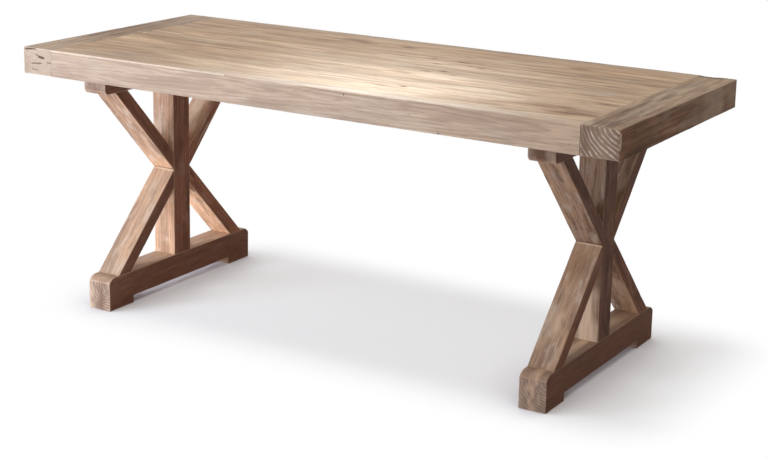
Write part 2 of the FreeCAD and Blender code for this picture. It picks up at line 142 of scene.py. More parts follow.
def blank(owner: Material | World) -> NodeTree:
    """Gives a material or the world an empty node tree.

    Args:
        owner: The material or the world.

    Returns:
        The tree.
    """
    owner.use_nodes = True
    owner.node_tree.nodes.clear()
    return owner.node_tree


def laid(tree: NodeTree, ground: Feed | Colour, layers: Sequence[tuple[Feed, Feed | Colour, str]]) -> Feed:
    """Mixes colours over each other.

    Args:
        tree: The material's nodes.
        ground: The colour below them all.
        layers: Each layer's share, its colour and how it blends, from the lowest up.

    Returns:
        The last mix.
    """
    for share, colour, blend in layers:
        ground = add(tree, "ShaderNodeMix", share, ground, colour, data_type="RGBA", blend_type=blend)
    return ground


def in_scene(name: str, data: ID) -> Object:
    """Makes an object and puts it in the scene.

    Args:
        name: Its name.
        data: Its mesh, lamp or camera.

    Returns:
        The object.
    """
    made = bpy.data.objects.new(name, data)
    bpy.context.collection.objects.link(made)
    return made


def plain(holder: Object, name: str) -> Mesh:
    """Keeps what an object's modifiers make, and takes the object away.

    Args:
        holder: The object.
        name: The new mesh's name.

    Returns:
        The mesh.
    """
    shown = holder.evaluated_get(bpy.context.evaluated_depsgraph_get())
    made = bpy.data.meshes.new_from_object(shown)
    holder.modifiers.clear()
    bpy.data.objects.remove(holder)
    made.name = name
    return made


class LatticeNoise:
    """Smooth seeded noise read from a cube of random values that repeats."""

    CUBE = 40

    def __init__(self, seed: int) -> None:
        """Fills the cube from a seed."""
        self.values = np.random.default_rng(seed).uniform(-1.0, 1.0, (self.CUBE,) * 3)

    def at(self, points: Places, cell: Sequence[float] | float) -> Values:
        """Reads the noise.

        Args:
            points: Where to read it.
            cell: The width of its features, for all axes or for each.

        Returns:
            A value from -1 to 1 for each place.
        """
        scaled = points / np.asarray(cell)
        base = np.floor(scaled).astype(int)
        part = scaled - base
        part = part * part * (3.0 - 2.0 * part)
        total = np.zeros(len(points))
        for corner in product((0, 1), repeat=3):
            weight = np.where(corner, part, 1.0 - part).prod(axis=1)
            index = (base + corner) % self.CUBE
            total += weight * self.values[index[:, 0], index[:, 1], index[:, 2]]
        return total


@dataclass(frozen=True)
class Heart:
    """Where the middle of the tree runs past a timber, from the timber's own middle.

    Across and through are offsets in mm, the drifts are how many mm it wanders for each metre along, and
    ring is the width of a year's growth in mm.
    """

    across: float
    through: float
    drift_across: float = 0.0
    drift_through: float = 0.0
    ring: float = 5.0


@dataclass(frozen=True)
class Patina:
    """How a timber has aged.

    Tone runs from -1 dark to 1 pale and grey from 0 to 1. End grain is how open its end grain looks, brown
    and shade left and right are how much darker brown the faces that look along the table get, partly old
    skin and partly painted shade, calm is how far its streaks are bleached out, and rub is how pale its
    arrises are.
    """

    tone: float = 0.0
    grey: float = 0.0
    end_grain: float = 0.5
    brown_left: float = 0.0
    brown_right: float = 0.0
    calm: float = 0.0
    rub: float = 0.8


@dataclass(frozen=True)
class Mark:
    """A crack, dent, nail hole or lost splinter between two points of a surface, or a painted shade line or
    painted highlight along an arris, all in mm.

    Depth is how far it sinks, and dirt_and_shade how dark it is, soiled in cracks and holes and painted shade
    in lines along arrises, or, below nothing, how pale, as rubbed wear and as painted highlights. A blunt
    mark doesn't taper towards its end.
    """

    start: Triple
    end: Triple
    width: float
    depth: float
    dirt_and_shade: float = 1.0
    blunt: bool = False

    UNEVEN, UNEVEN_CELL = 0.35, 6 * MM

    def nearness(self, points: Places, noise: LatticeNoise) -> Values:
        """Says how far inside the mark each place lies.

        Args:
            points: Places in the table's axes.
            noise: What makes its outline uneven.

        Returns:
            1 at the mark's middle line and 0 outside it.
        """
        first, last = np.array(self.start) * MM, np.array(self.end) * MM
        line = last - first
        length = max(float(line @ line), 1e-12)
        share = np.clip((points - first) @ line / length, 0.0, 1.0)
        away = np.linalg.norm(points - first - share[:, None] * line, axis=1)
        uneven = 1.0 + self.UNEVEN * noise.at(points, self.UNEVEN_CELL)
        inside = np.clip(1.0 - (away / (self.width * MM * uneven)) ** 2, 0.0, 1.0)
        ends = share if self.blunt else np.minimum(share, 1.0 - share) * 2.0
        taper = 1.0 if first.tolist() == last.tolist() else np.clip(0.25 + 2.0 * ends, 0.0, 1.0)
        return inside * taper


@dataclass(frozen=True)
class Stain:
    """A soft mark in the colour alone: its middle and half sizes in mm, as seen from above, and how much of
    each colour it brings; some pale ones are painted light. It fades out below its ceiling, in mm."""

    middle: tuple[float, float]
    reach: tuple[float, float]
    brown: float = 0.0
    grey: float = 0.0
    pale: float = 0.0
    ceiling: float = 1000.0

    FADE = 100.0

    def strength(self, points: Places, uneven: Values) -> Values:
        """Says how strongly the stain shows.

        Args:
            points: Places in the table's axes.
            uneven: What is added at each to break the outline up.

        Returns:
            A value from 0 to 1 for each place.
        """
        away = (points[:, :2] - np.array(self.middle) * MM) / (np.array(self.reach) * MM)
        low_enough = np.clip((self.ceiling - points[:, 2] / MM) / self.FADE, 0.0, 1.0)
        return np.clip(1.0 - np.linalg.norm(away, axis=1) + uneven, 0.0, 1.0) * low_enough


@dataclass
class Timber:
    """One worn length of wood.

    Covered names its faces that lie against a neighbour, such as "-u +v". Arris is how round its open arrises
    are worn, seam and joint those of its covered sides and ends, and upright those that stand at an open end
    on the upright side, -1 or 1 along v. Chip and end wear are how far chips and the last stretch go past
    that, hollow is how deep its faces are worn, and seam_dirt how dark its covered faces are.
    """

    node: str
    low: Vector
    high: Vector
    run: Run
    seed: int
    heart: Heart
    patina: Patina = Patina()
    arris: float = 1.6 * MM
    seam: float = 0.8 * MM
    joint: float = 0.4 * MM
    upright: float = 1.6 * MM
    upright_side: float = 0.0
    chip: float = 2.0 * MM
    end_wear: float = 0.5
    cell: Triple = (9 * MM, 5 * MM, 5 * MM)
    covered: str = ""
    marks: Sequence[Mark] = ()
    stains: Sequence[Stain] = ()
    hollow: float = 0.35 * MM
    seam_dirt: float = 0.5

    TURN = 5.5 * MM  # How far in from an arris its vertices stand closer.
    CLOSER = (0.0, 0.16, 0.36, 0.62, 1.0)  # Where they stand, as shares of that.
    CLOSEST = 0.25 * MM
    LONG_WEAR, SHORT_WEAR, END_WEAR = 55 * MM, 15 * MM, 22 * MM  # Lengths of the waves in its arrises.
    CHIPS = (38 * MM, 25 * MM, 25 * MM)  # How far apart chips are.
    CHIPPED_PAST = 0.5  # The noise level above which an arris is chipped.
    WORN_END = 40 * MM  # How far from its ends the arrises are worn more.
    LONG_HOLLOWS = (230 * MM, 38 * MM, 38 * MM)
    SHORT_HOLLOWS = (110 * MM, 22 * MM, 22 * MM)
    RUBBED_BAND = 3.2 * MM
    STAIN_EDGE, STAIN_UNEVEN = (60 * MM, 9 * MM, 20 * MM), 0.45
    LOG_STEP = 2.7  # How far along its log each seed moves it.
    CALM_END = 0.75  # How far the streaks fade out on end grain.

    def __post_init__(self) -> None:
        """Works out the axes, middle and half sizes."""
        self.axes = np.array(self.run.value, float)
        self.middle = (np.array(self.low) + np.array(self.high)) / 2
        self.half = np.abs(self.axes @ (np.array(self.high) - np.array(self.low))) / 2
        self.noise = LatticeNoise(self.seed)

    def inward(self, points: Places) -> Places:
        """Turns places in the table's axes to the timber's own."""
        return (points - self.middle) @ self.axes.T

    def placed(self, points: Places) -> Places:
        """Turns places in the timber's own axes to the table's."""
        return points @ self.axes + self.middle

    def breaks(self) -> list[float]:
        """Places along the timber where its outline turns."""
        return []

    def formed(self, points: Places) -> Places:
        """Gives the straight timber its outline; a plain one keeps it."""
        return points

    def stations(self, axis: int, extra: Sequence[float]) -> Values:
        """Spaces the vertices along one axis.

        Args:
            axis: Which of the timber's own axes.
            extra: Other places where a vertex is needed.

        Returns:
            Rising places from one side to the other.
        """
        half, flat = self.half[axis], self.half[axis] - self.TURN
        near = half - self.TURN * np.array(self.CLOSER)
        middle = np.linspace(-flat, flat, max(1, round(2 * flat / self.cell[axis])) + 1)
        places = np.sort(np.concatenate([-near, middle, near, [e for e in extra if abs(e) < flat]]))
        return places[np.concatenate([[True], np.diff(places) > self.CLOSEST])]

    def lattice(self) -> tuple[Places, np.ndarray]:
        """Lays the surface of the straight timber out in cells.

        Returns:
            The vertices, and the faces, four vertex numbers each.
        """
        extra: list[list[float]] = [self.breaks(), [], []]
        for mark in self.marks:
            for end in (mark.start, mark.end):
                for axis, at in enumerate(self.inward(np.array(end) * MM)):
                    extra[axis] += [at + mark.width * MM * step for step in (-1.0, -0.4, 0.4, 1.0)]
        rows = [self.stations(axis, extra[axis]) for axis in range(3)]
        shell = np.ones([len(r) for r in rows], bool)
        shell[1:-1, 1:-1, 1:-1] = False
        number = np.full(shell.shape, -1)
        number[shell] = np.arange(shell.sum())
        where = np.nonzero(shell)
        points = np.stack([rows[a][where[a]] for a in range(3)], axis=1)
        faces = []
        for axis, end in product(range(3), (0, -1)):
            side = np.take(number, end, axis=axis)
            quads = np.stack([side[:-1, :-1], side[1:, :-1], side[1:, 1:], side[:-1, 1:]], axis=-1)
            outward = (end == -1) == (axis != 1)
            faces.append(quads.reshape(-1, 4)[:, :: 1 if outward else -1])
        return points, np.concatenate(faces)

    def long_radius(self, points: Places) -> Values:
        """Says how far the long arrises are worn round; those at a seam stay sharper.

        Args:
            points: Vertices of the straight timber.

        Returns:
            A radius for each vertex.
        """
        signs = np.where(points[:, 1:] < 0, -1, 1)
        at_seam = np.zeros(len(points), bool)
        for (axis, letter), (sign, name) in product(enumerate("vw"), ((-1, "-"), (1, "+"))):
            if name + letter in self.covered:
                at_seam |= signs[:, axis] == sign
        edge = np.column_stack([points[:, 0], signs * self.half[1:]])
        wear = 1.0 + 0.45 * self.noise.at(edge, self.LONG_WEAR)
        wear = wear + 0.3 * self.noise.at(edge + 7.0, self.SHORT_WEAR)
        chips = np.clip(self.noise.at(edge + 3.0, self.CHIPS) - self.CHIPPED_PAST, 0.0, 1.0)
        chips = chips / (1.0 - self.CHIPPED_PAST)
        ends = np.clip(1.0 - (self.half[0] - np.abs(points[:, 0])) / self.WORN_END, 0.0, 1.0) ** 2
        worn = self.arris * wear + self.chip * (chips + self.end_wear * ends)
        sharp = self.seam * (0.8 + 0.5 * wear)
        return np.clip(np.where(at_seam, sharp, worn), self.CLOSEST, self.TURN)

    def end_radius(self, points: Places, side: np.ndarray) -> Values:
        """Says how far the arrises round each end are worn.

        Args:
            points: Vertices of the straight timber.
            side: The way out of its section at each.

        Returns:
            A radius for each vertex.
        """
        wear = 1.0 + 0.4 * self.noise.at(points + 11.0, self.END_WEAR)
        upright = np.clip(side[:, 0] * self.upright_side, 0.0, 1.0) ** 2
        radius = self.arris * wear * (1.0 - upright) + self.upright * upright
        closed = np.where(points[:, 0] < 0, "-u" in self.covered, "+u" in self.covered)
        return np.clip(np.where(closed, self.joint, radius), 0.2 * MM, self.TURN)

    def worn(self, points: Places) -> tuple[Places, Places]:
        """Rounds the long arrises, then those round the ends.

        Args:
            points: Vertices of the straight timber.

        Returns:
            The moved vertices and the way out of the wood at each.
        """
        section, half = points[:, 1:], self.half[1:]
        long_radius = self.long_radius(points)[:, None]
        core = np.clip(section, long_radius - half, half - long_radius)
        offset = section - core
        reach = np.linalg.norm(offset, axis=1)
        gaps = half - np.abs(section)
        nearest = np.eye(2)[gaps.argmin(axis=1)] * np.where(section < 0, -1, 1)
        side = np.where(reach[:, None] > 1e-9, offset / np.maximum(reach, 1e-9)[:, None], nearest)
        turned = core + side * np.abs(offset).max(axis=1)[:, None]
        radius = self.end_radius(points, side)
        past_end = np.clip(radius - (self.half[0] - np.abs(points[:, 0])), 0.0, None)
        past_side = np.clip(radius - gaps.min(axis=1), 0.0, None)
        span = np.maximum(np.hypot(past_end, past_side), 1e-9)
        pull = np.where((past_end > 0) & (past_side > 0), 1.0 - radius / span, 0.0)
        sign = np.where(points[:, 0] < 0, -1, 1)
        along = points[:, 0] - sign * past_end * pull
        moved = np.column_stack([along, turned - side * (past_side * pull)[:, None]])
        out = np.column_stack([sign * past_end, side * past_side[:, None]]) / span[:, None]
        return moved, out

    def openness(self, out: Places) -> Values:
        """Says how far each place faces the open, from 0 against a neighbour to 1.

        Args:
            out: The way out of the wood at each place.

        Returns:
            One value for each place.
        """
        parts = np.stack([np.clip(-out, 0, 1), np.clip(out, 0, 1)], axis=2).reshape(-1, 6)
        open_sides = np.array([sign + axis not in self.covered for axis in "uvw" for sign in "-+"], float)
        return np.clip((parts**2) @ open_sides, 0.0, 1.0)

    def mesh(self) -> Mesh:
        """Makes the timber's mesh, with what its finish reads at each vertex.

        Returns:
            The mesh, in its place.
        """
        straight, faces = self.lattice()
        rounded, out = self.worn(straight)
        freedom = self.openness(out)
        long_waves = self.noise.at(rounded + 1.0, self.LONG_HOLLOWS)
        short_waves = self.noise.at(rounded + 2.0, self.SHORT_HOLLOWS)
        sunk = self.hollow * freedom * (0.7 * (1.0 + long_waves) + 0.3 * (1.0 + short_waves)) / 2
        where = self.placed(self.formed(rounded))
        dirt_and_shade, pale = np.zeros(len(where)), np.zeros(len(where))
        # Dark marks include painted shade lines, pale marks painted highlights.
        for mark in self.marks:
            inside = mark.nearness(where, self.noise)
            sunk = sunk + mark.depth * MM * inside
            shown = np.clip(1.6 * inside, 0.0, 1.0)
            dirt_and_shade, pale = np.maximum(dirt_and_shade, mark.dirt_and_shade * shown), np.maximum(pale, -mark.dirt_and_shade * shown)
        final = self.placed(self.formed(rounded - out * sunk[:, None]))
        made = bpy.data.meshes.new(self.node)
        made.from_pydata(final.tolist(), [], faces.tolist())
        made.polygons.foreach_set("use_smooth", [True] * len(made.polygons))
        for name, columns in self.aged(straight, out, where, dirt_and_shade, pale, freedom).items():
            layer = made.attributes.new(name, "FLOAT_VECTOR", "POINT")
            layer.data.foreach_set("vector", columns.astype(np.float32).ravel())
        made.update()
        return made

    def aged(
        self, straight: Places, out: Places, where: Places, dirt_and_shade: Values, pale: Values, freedom: Values
    ) -> dict[str, np.ndarray]:
        """Works out what the wood finish reads: place in the tree, age, wear, painted light and shade, and
        kind of cut.

        Args:
            straight: Vertices of the straight timber, in its own axes.
            out: The way out of the wood at each.
            where: The worn vertices in the table's axes.
            dirt_and_shade: How dark the marks are at each, soiled and painted shade lines.
            pale: How pale the marks are at each, rubbed wear and painted highlights.
            freedom: How far each faces the open.

        Returns:
            Three values for each vertex under each attribute's name.
        """
        heart, along = self.heart, straight[:, 0]
        log = straight.copy()
        log[:, 0] += self.LOG_STEP * self.seed
        log[:, 1] -= (heart.across + heart.drift_across * along) * MM
        log[:, 2] -= (heart.through + heart.drift_through * along) * MM
        # Faces that look along the table get brown: partly old skin, partly painted shade.
        turned = (out @ self.axes)[:, 0]
        brown = np.clip(-turned, 0, 1) * self.patina.brown_left
        brown = brown + np.clip(turned, 0, 1) * self.patina.brown_right
        closed = np.array([[sign + axis in self.covered for axis in "uvw"] for sign in "-+"])
        from_faces = np.stack([self.half + straight, self.half - straight])
        from_faces[closed[:, None, :].repeat(len(straight), axis=1)] = 1.0
        edge = np.sort(from_faces.min(axis=0), axis=1)[:, 1]
        rubbed = self.patina.rub * np.exp(-((edge / self.RUBBED_BAND) ** 2)) * freedom
        stained = np.zeros((3, len(straight)))
        uneven = self.STAIN_UNEVEN * self.noise.at(straight, self.STAIN_EDGE)
        for stain in self.stains:
            kinds = np.array([stain.brown, stain.grey, stain.pale])
            stained = np.maximum(stained, kinds[:, None] * stain.strength(where, uneven))
        tone, per_mm = np.full(len(straight), self.patina.tone), np.full(len(straight), 1.0 / heart.ring)
        # Wear's first value takes pale marks and pale stains, painted highlights and painted light among
        # them; grime_and_shade takes dark marks, painted shade lines among them, and the darkness of covered
        # seams.
        grime_and_shade, end = np.maximum(dirt_and_shade, self.seam_dirt * (1.0 - freedom)), out[:, 0] ** 2
        rows = {
            "patina": (tone, np.maximum(stained[1], self.patina.grey), brown),
            "wear": (np.maximum.reduce([rubbed, stained[2], pale]), grime_and_shade, stained[0]),
            "cut": (self.patina.end_grain * end, per_mm, np.maximum(self.patina.calm, self.CALM_END * end)),
        }
        return {"log": log} | {name: np.stack(row, axis=1) for name, row in rows.items()}


@dataclass
class Bearer(Timber):
    """The trestle's top beam, its lower end corners cut off and bored from below for the bolt heads."""

    bevel: float = 9 * MM
    bores: Sequence[Vector] = ()
    bore_radius: float = 12 * MM
    bore_depth: float = 12 * MM

    SHARP_PAST = math.radians(40.0)

    def breaks(self) -> list[float]:
        """The bevels start a little in from each end."""
        start = self.half[0] - self.bevel
        return [-start, start]

    def formed(self, points: Places) -> Places:
        """Lifts the underside towards both ends.

        Args:
            points: Vertices of the straight beam.

        Returns:
            The moved vertices.
        """
        rise = np.clip(np.abs(points[:, 0]) - (self.half[0] - self.bevel), 0.0, self.bevel)
        height = 2 * self.half[2]
        shaped = points.copy()
        shaped[:, 2] = self.half[2] - (self.half[2] - points[:, 2]) * (height - rise) / height
        return shaped

    def mesh(self) -> Mesh:
        """Makes the beam's mesh and bores it with round cutters.

        Returns:
            The mesh, in its place.
        """
        solid = super().mesh()
        drill = bmesh.new()
        size = {"radius1": self.bore_radius, "radius2": self.bore_radius, "depth": 2 * self.bore_depth}
        for place in self.bores:
            at = Matrix.Translation((place.x, place.y, self.low.z))
            bmesh.ops.create_cone(drill, cap_ends=True, segments=48, matrix=at, **size)
        cutter = bpy.data.meshes.new(f"{self.node}_cutter")
        drill.to_mesh(cutter)
        drill.free()
        holder, cutters = in_scene(solid.name, solid), in_scene(cutter.name, cutter)
        cut = holder.modifiers.new("bores", "BOOLEAN")
        cut.operation, cut.solver, cut.object = "DIFFERENCE", "EXACT", cutters
        made = plain(holder, self.node)
        bpy.data.objects.remove(cutters)
        made.set_sharp_from_angle(angle=self.SHARP_PAST)
        self.carry_over(solid, made)
        return made

    def carry_over(self, solid: Mesh, made: Mesh) -> None:
        """Gives each vertex of the bored mesh what its nearest neighbour held before.

        Args:
            solid: The mesh before it was bored.
            made: The bored mesh, whose own values are lost.
        """
        before, after = (np.array([v.co[:] for v in each.vertices], float) for each in (solid, made))
        nearby = KDTree(len(before))
        for number, place in enumerate(before):
            nearby.insert(place, number)
        nearby.balance()
        nearest = np.array([nearby.find(place)[1] for place in after])
        for name in ("log", "patina", "wear", "cut"):
            flat = np.empty(3 * len(before), np.float32)
            solid.attributes[name].data.foreach_get("vector", flat)
            values = flat.reshape(-1, 3)[nearest]
            if name == "log":
                values = values + (after - before[nearest]) @ self.axes.T
            made.attributes[name].data.foreach_set("vector", values.astype(np.float32).ravel())


@dataclass
class Foot(Timber):
    """The floor beam, relieved between two pads, its top end corners eased."""

    pad: float = 104 * MM
    relief: float = 22 * MM
    relief_round: float = 7 * MM
    toe_length: float = 25 * MM
    toe_height: float = 14 * MM

    def breaks(self) -> list[float]:
        """Close steps down the relief's wall and round its corner, and round the toes."""
        wall = self.half[0] - self.pad
        corner = [wall - self.relief_round * s for s in (0.0, 0.03, 0.08, 0.2, 0.4, 0.7, 1.0)]
        toe = [self.half[0] - self.toe_length * s for s in (0.16, 0.3, 0.45, 0.6, 0.8, 1.0, 1.25)]
        return [side * at for side in (-1, 1) for at in (*corner, wall + 0.4 * MM, *toe)]

    def underside(self, along: Values) -> Values:
        """Works out the height of the underside above the floor.

        Args:
            along: Places along the beam.

        Returns:
            A height for each.
        """
        inside = self.half[0] - self.pad - np.abs(along)
        turn = np.clip(self.relief_round - inside, 0.0, self.relief_round)
        arch = self.relief - self.relief_round + np.sqrt(self.relief_round**2 - turn**2)
        return np.where(inside >= 0.0, arch, 0.0)

    def topside(self, along: Values) -> Values:
        """How far the top has fallen towards each toe."""
        past = np.clip(np.abs(along) - (self.half[0] - self.toe_length), 0.0, self.toe_length)
        return self.toe_height * (past / self.toe_length) ** 2

    def formed(self, points: Places) -> Places:
        """Gives the beam its relief and eased toes.

        Args:
            points: Vertices of the straight beam.

        Returns:
            The moved vertices.
        """
        low = self.underside(points[:, 0])
        high = 2 * self.half[2] - self.topside(points[:, 0])
        share = (points[:, 2] + self.half[2]) / (2 * self.half[2])
        shaped = points.copy()
        shaped[:, 2] = low + (high - low) * share - self.half[2]
        return shaped


@dataclass
class Brace(Timber):
    """A diagonal, cut plumb on the post and level on the foot or bearer."""

    depth: float = 40 * MM

    def __post_init__(self) -> None:
        """Lays the brace's axes along its outer face, from the elbow to the landing."""
        super().__post_init__()
        low, high = np.array(self.low), np.array(self.high)
        front, lower = low[1] < 0, low[2] < ELBOW
        self.elbow = np.array([high[1] if front else low[1], high[2] if lower else low[2]])
        self.landing = np.array([low[1] if front else high[1], low[2] if lower else high[2]])
        reach = np.linalg.norm(self.landing - self.elbow)
        self.way = (self.landing - self.elbow) / reach
        across = np.array([-self.way[1], self.way[0]])
        self.across = across if across[0] * self.elbow[0] < 0 else -across
        along, beside = np.array([0.0, *self.way]), np.array([0.0, *self.across])
        self.axes = np.array([along, beside, np.cross(along, beside)])
        start = self.elbow + self.across * self.depth / 2
        self.middle = np.array([(low[0] + high[0]) / 2, *(start + self.way * reach / 2)])
        self.half = np.array([reach, self.depth, high[0] - low[0]]) / 2

    def formed(self, points: Places) -> Places:
        """Shears the ends on to the post's face and the level landing.

        Args:
            points: Vertices of the straight brace.

        Returns:
            The moved vertices.
        """
        beside = points[:, 1] + self.depth / 2
        first = -beside * self.across[0] / self.way[0]
        last = (self.landing[1] - self.elbow[1] - beside * self.across[1]) / self.way[1]
        share = (points[:, 0] + self.half[0]) / (2 * self.half[0])
        shaped = points.copy()
        shaped[:, 0] = first + (last - first) * share - self.half[0]
        return shaped


@dataclass(frozen=True)
class Figure:
    """One layer of marks drawn out along the grain: their size in mm, their colour, the noise levels where
    they start and are full, and how much of the colour shows."""

    length: float
    width: float
    colour: str
    start: float
    full: float
    share: float
    detail: float = 2.0


@dataclass(frozen=True)
class ReclaimedWood:
    """Old softwood, planed, wire brushed, bleached and waxed.

    The eye sees yearly rings as arches and long lines, the hard late wood standing proud and darker, a pale
    dry film, arrises rubbed lighter, soil in cracks and seams, and a dull wax sheen at low angles. The finish
    also paints light and shade: darker brown on the faces along the table, dark and pale lines along some
    arrises, and pale patches on some trestle faces. Relief, ring and the sizes in capitals are in mm.
    """

    name: str
    early: str
    late: str
    late_share: float
    figures: Sequence[Figure]
    end_dark: str
    end_pale: str
    # brown also darkens the faces along the table as painted shade, rubbed also lays painted highlights and
    # painted light, and grime_and_shade also painted shade lines.
    brown: str
    rubbed: str
    grime_and_shade: str
    stain: str
    grey: str
    roughness: float
    relief: float = 0.35
    tone_swing: float = 0.3
    ring: float = 6.0
    end_fineness: float = 2.2

    FIBRE = (70.0, 2.2)
    WANDER_CELL = (420.0, 46.0)
    WANDER = 9.0  # How far the rings wander.
    WAVE_UNIT = 0.31416  # The scale at which a wave texture's rings are a unit apart.
    LATE_EDGE = (0.3, 0.93)  # Where in each year the late wood starts and is full.
    LATE_STANDS = 0.75  # How far the late wood stands proud, beside the fibres.
    ROUGHER, SMOOTHER = 0.12, 0.09  # How far the roughness strays from its middle.
    APART = (9.3, 2.6)  # How far apart in its noise each figure is read from the last.
    END_CLOUD = 22.0
    END_OPEN = (0.36, 0.58, 0.12)  # The noise levels where end grain opens and is open, and the least.
    PLAIN_HEART = (0.0, 0.03, 0.05)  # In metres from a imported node's own origin.
    BREAK_UP = 0.3  # How far the fibres break up the edge of each kind of wear.

    def material(self, mapped: Mapped, turn: Triple = (0, 0, 0)) -> Material:
        """Builds the finish.

        Args:
            mapped: Whether the place in the tree is carried by the mesh or read from Object coordinates.
            turn: How Object coordinates are turned, in radians, so that X runs along the grain.

        Returns:
            The material.
        """
        carried = mapped is Mapped.CARRIED
        made = bpy.data.materials.new(self.name if carried else f"{self.name}_plain")
        tree = blank(made)
        if carried:
            log = add(tree, "ShaderNodeAttribute", attribute_name=mapped.value).outputs["Vector"]
        else:
            place = add(tree, "ShaderNodeTexCoord").outputs[mapped.value]
            log = add(tree, "ShaderNodeMapping", Vector=place, Location=self.PLAIN_HEART, Rotation=turn)
        parts = {}
        for name in ("patina", "wear", "cut"):
            held = add(tree, "ShaderNodeAttribute", attribute_name=name).outputs["Vector"]
            parts[name] = add(tree, "ShaderNodeSeparateXYZ", held).outputs
        late = self.rings(tree, log, parts["cut"]["Y"] if carried else 1.0 / self.ring)
        at = self.drawn(tree, log, *self.FIBRE)
        fibres = add(tree, "ShaderNodeTexNoise", Vector=at, Scale=1.0, Detail=2.0)
        height = add(tree, "ShaderNodeMath", late, self.LATE_STANDS, fibres, operation="MULTIPLY_ADD")
        bump = add(tree, "ShaderNodeBump", Height=height, Distance=self.relief * MM, Strength=0.9)
        low, high = self.roughness - self.SMOOTHER, self.roughness + self.ROUGHER
        rough = add(tree, "ShaderNodeMapRange", Value=fibres, To_Min=low, To_Max=high)
        shader = add(
            tree, "ShaderNodeBsdfPrincipled", Base_Color=self.colour(tree, log, late, fibres, parts),
            Roughness=rough, Normal=bump, IOR=1.48, Specular_IOR_Level=0.2,
        )
        add(tree, "ShaderNodeOutputMaterial", Surface=shader)
        return made

    @staticmethod
    def drawn(tree: NodeTree, log: Feed, length: float, width: float) -> Node:
        """Scales the place in the tree so that a pattern of unit size comes out length by width, in mm."""
        sizes = (1.0 / (length * MM), 1.0 / (width * MM), 1.0 / (width * MM))
        return add(tree, "ShaderNodeVectorMath", log, sizes, operation="MULTIPLY")

    def rings(self, tree: NodeTree, log: Feed, per_mm: Feed | float) -> Node:
        """Draws the years as rings about a heart that wanders a little.

        Args:
            tree: The material's nodes.
            log: The place in the tree.
            per_mm: Rings for each mm.

        Returns:
            How much of the hard late wood shows.
        """
        at = self.drawn(tree, log, *self.WANDER_CELL)
        wander = add(tree, "ShaderNodeTexNoise", Vector=at, Scale=1.0, Detail=1.5).outputs["Color"]
        centred = add(tree, "ShaderNodeVectorMath", wander, (0.5, 0.5, 0.5), operation="SUBTRACT")
        bend = (0.0, 2 * self.WANDER * MM, 2 * self.WANDER * MM)
        bent = add(tree, "ShaderNodeVectorMath", centred, bend, log, operation="MULTIPLY_ADD")
        years = add(tree, "ShaderNodeVectorMath", bent, per_mm, operation="SCALE")
        wave = add(
            tree, "ShaderNodeTexWave", wave_type="RINGS", rings_direction="X", wave_profile="SAW",
            Vector=years, Scale=self.WAVE_UNIT / MM, Distortion=0.6, Detail=1.0, Detail_Scale=0.4,
        )
        levels = (wave.outputs["Fac"], *self.LATE_EDGE)
        return add(tree, "ShaderNodeMapRange", *levels, interpolation_type="SMOOTHSTEP")

    def figured(self, tree: NodeTree, log: Feed) -> list[tuple[Node, Colour, str]]:
        """Draws each figure as a layer of colour.

        Args:
            tree: The material's nodes.
            log: The place in the tree.

        Returns:
            The layers, from the lowest up.
        """
        layers = []
        for number, figure in enumerate(self.figures):
            drawn = self.drawn(tree, log, figure.length, figure.width)
            shift = (self.APART[0] * number, 4.1, self.APART[1] * number)
            moved = add(tree, "ShaderNodeVectorMath", drawn, shift, operation="ADD")
            noise = add(tree, "ShaderNodeTexNoise", Vector=moved, Scale=1.0, Detail=figure.detail)
            levels = (noise, figure.start, figure.full, 0.0, figure.share)
            amount = add(tree, "ShaderNodeMapRange", *levels, interpolation_type="SMOOTHSTEP")
            layers.append((amount, linear(figure.colour), "MIX"))
        return layers

    def colour(
        self, tree: NodeTree, log: Feed, late: Feed, fibres: Feed, parts: dict[str, NodeOutputs]
    ) -> Feed:
        """Lays the wood's colours over each other, from the rings out to the soil and painted shade lines.

        Args:
            tree: The material's nodes.
            log: The place in the tree.
            late: How much late wood shows.
            fibres: The fine fibres.
            parts: The split patina, wear and cut values.

        Returns:
            The base colour.
        """
        late_amount = add(tree, "ShaderNodeMath", late, self.late_share, operation="MULTIPLY")
        ringed = laid(tree, linear(self.early), [(late_amount, linear(self.late), "MIX")])
        streaked = laid(tree, ringed, self.figured(tree, log))
        calmed = laid(tree, streaked, [(parts["cut"]["Z"], ringed, "MIX")])
        ridges = add(tree, "ShaderNodeMath", late, self.end_fineness, operation="POWER")
        cloud = add(tree, "ShaderNodeTexNoise", Vector=log, Scale=1.0 / (self.END_CLOUD * MM), Detail=2.0)
        broken = add(tree, "ShaderNodeMapRange", cloud, *self.END_OPEN)
        shown = add(tree, "ShaderNodeMath", ridges, broken, operation="MULTIPLY")
        dark, pale = linear(self.end_dark), linear(self.end_pale)
        end_colour = add(tree, "ShaderNodeMix", shown, dark, pale, data_type="RGBA")
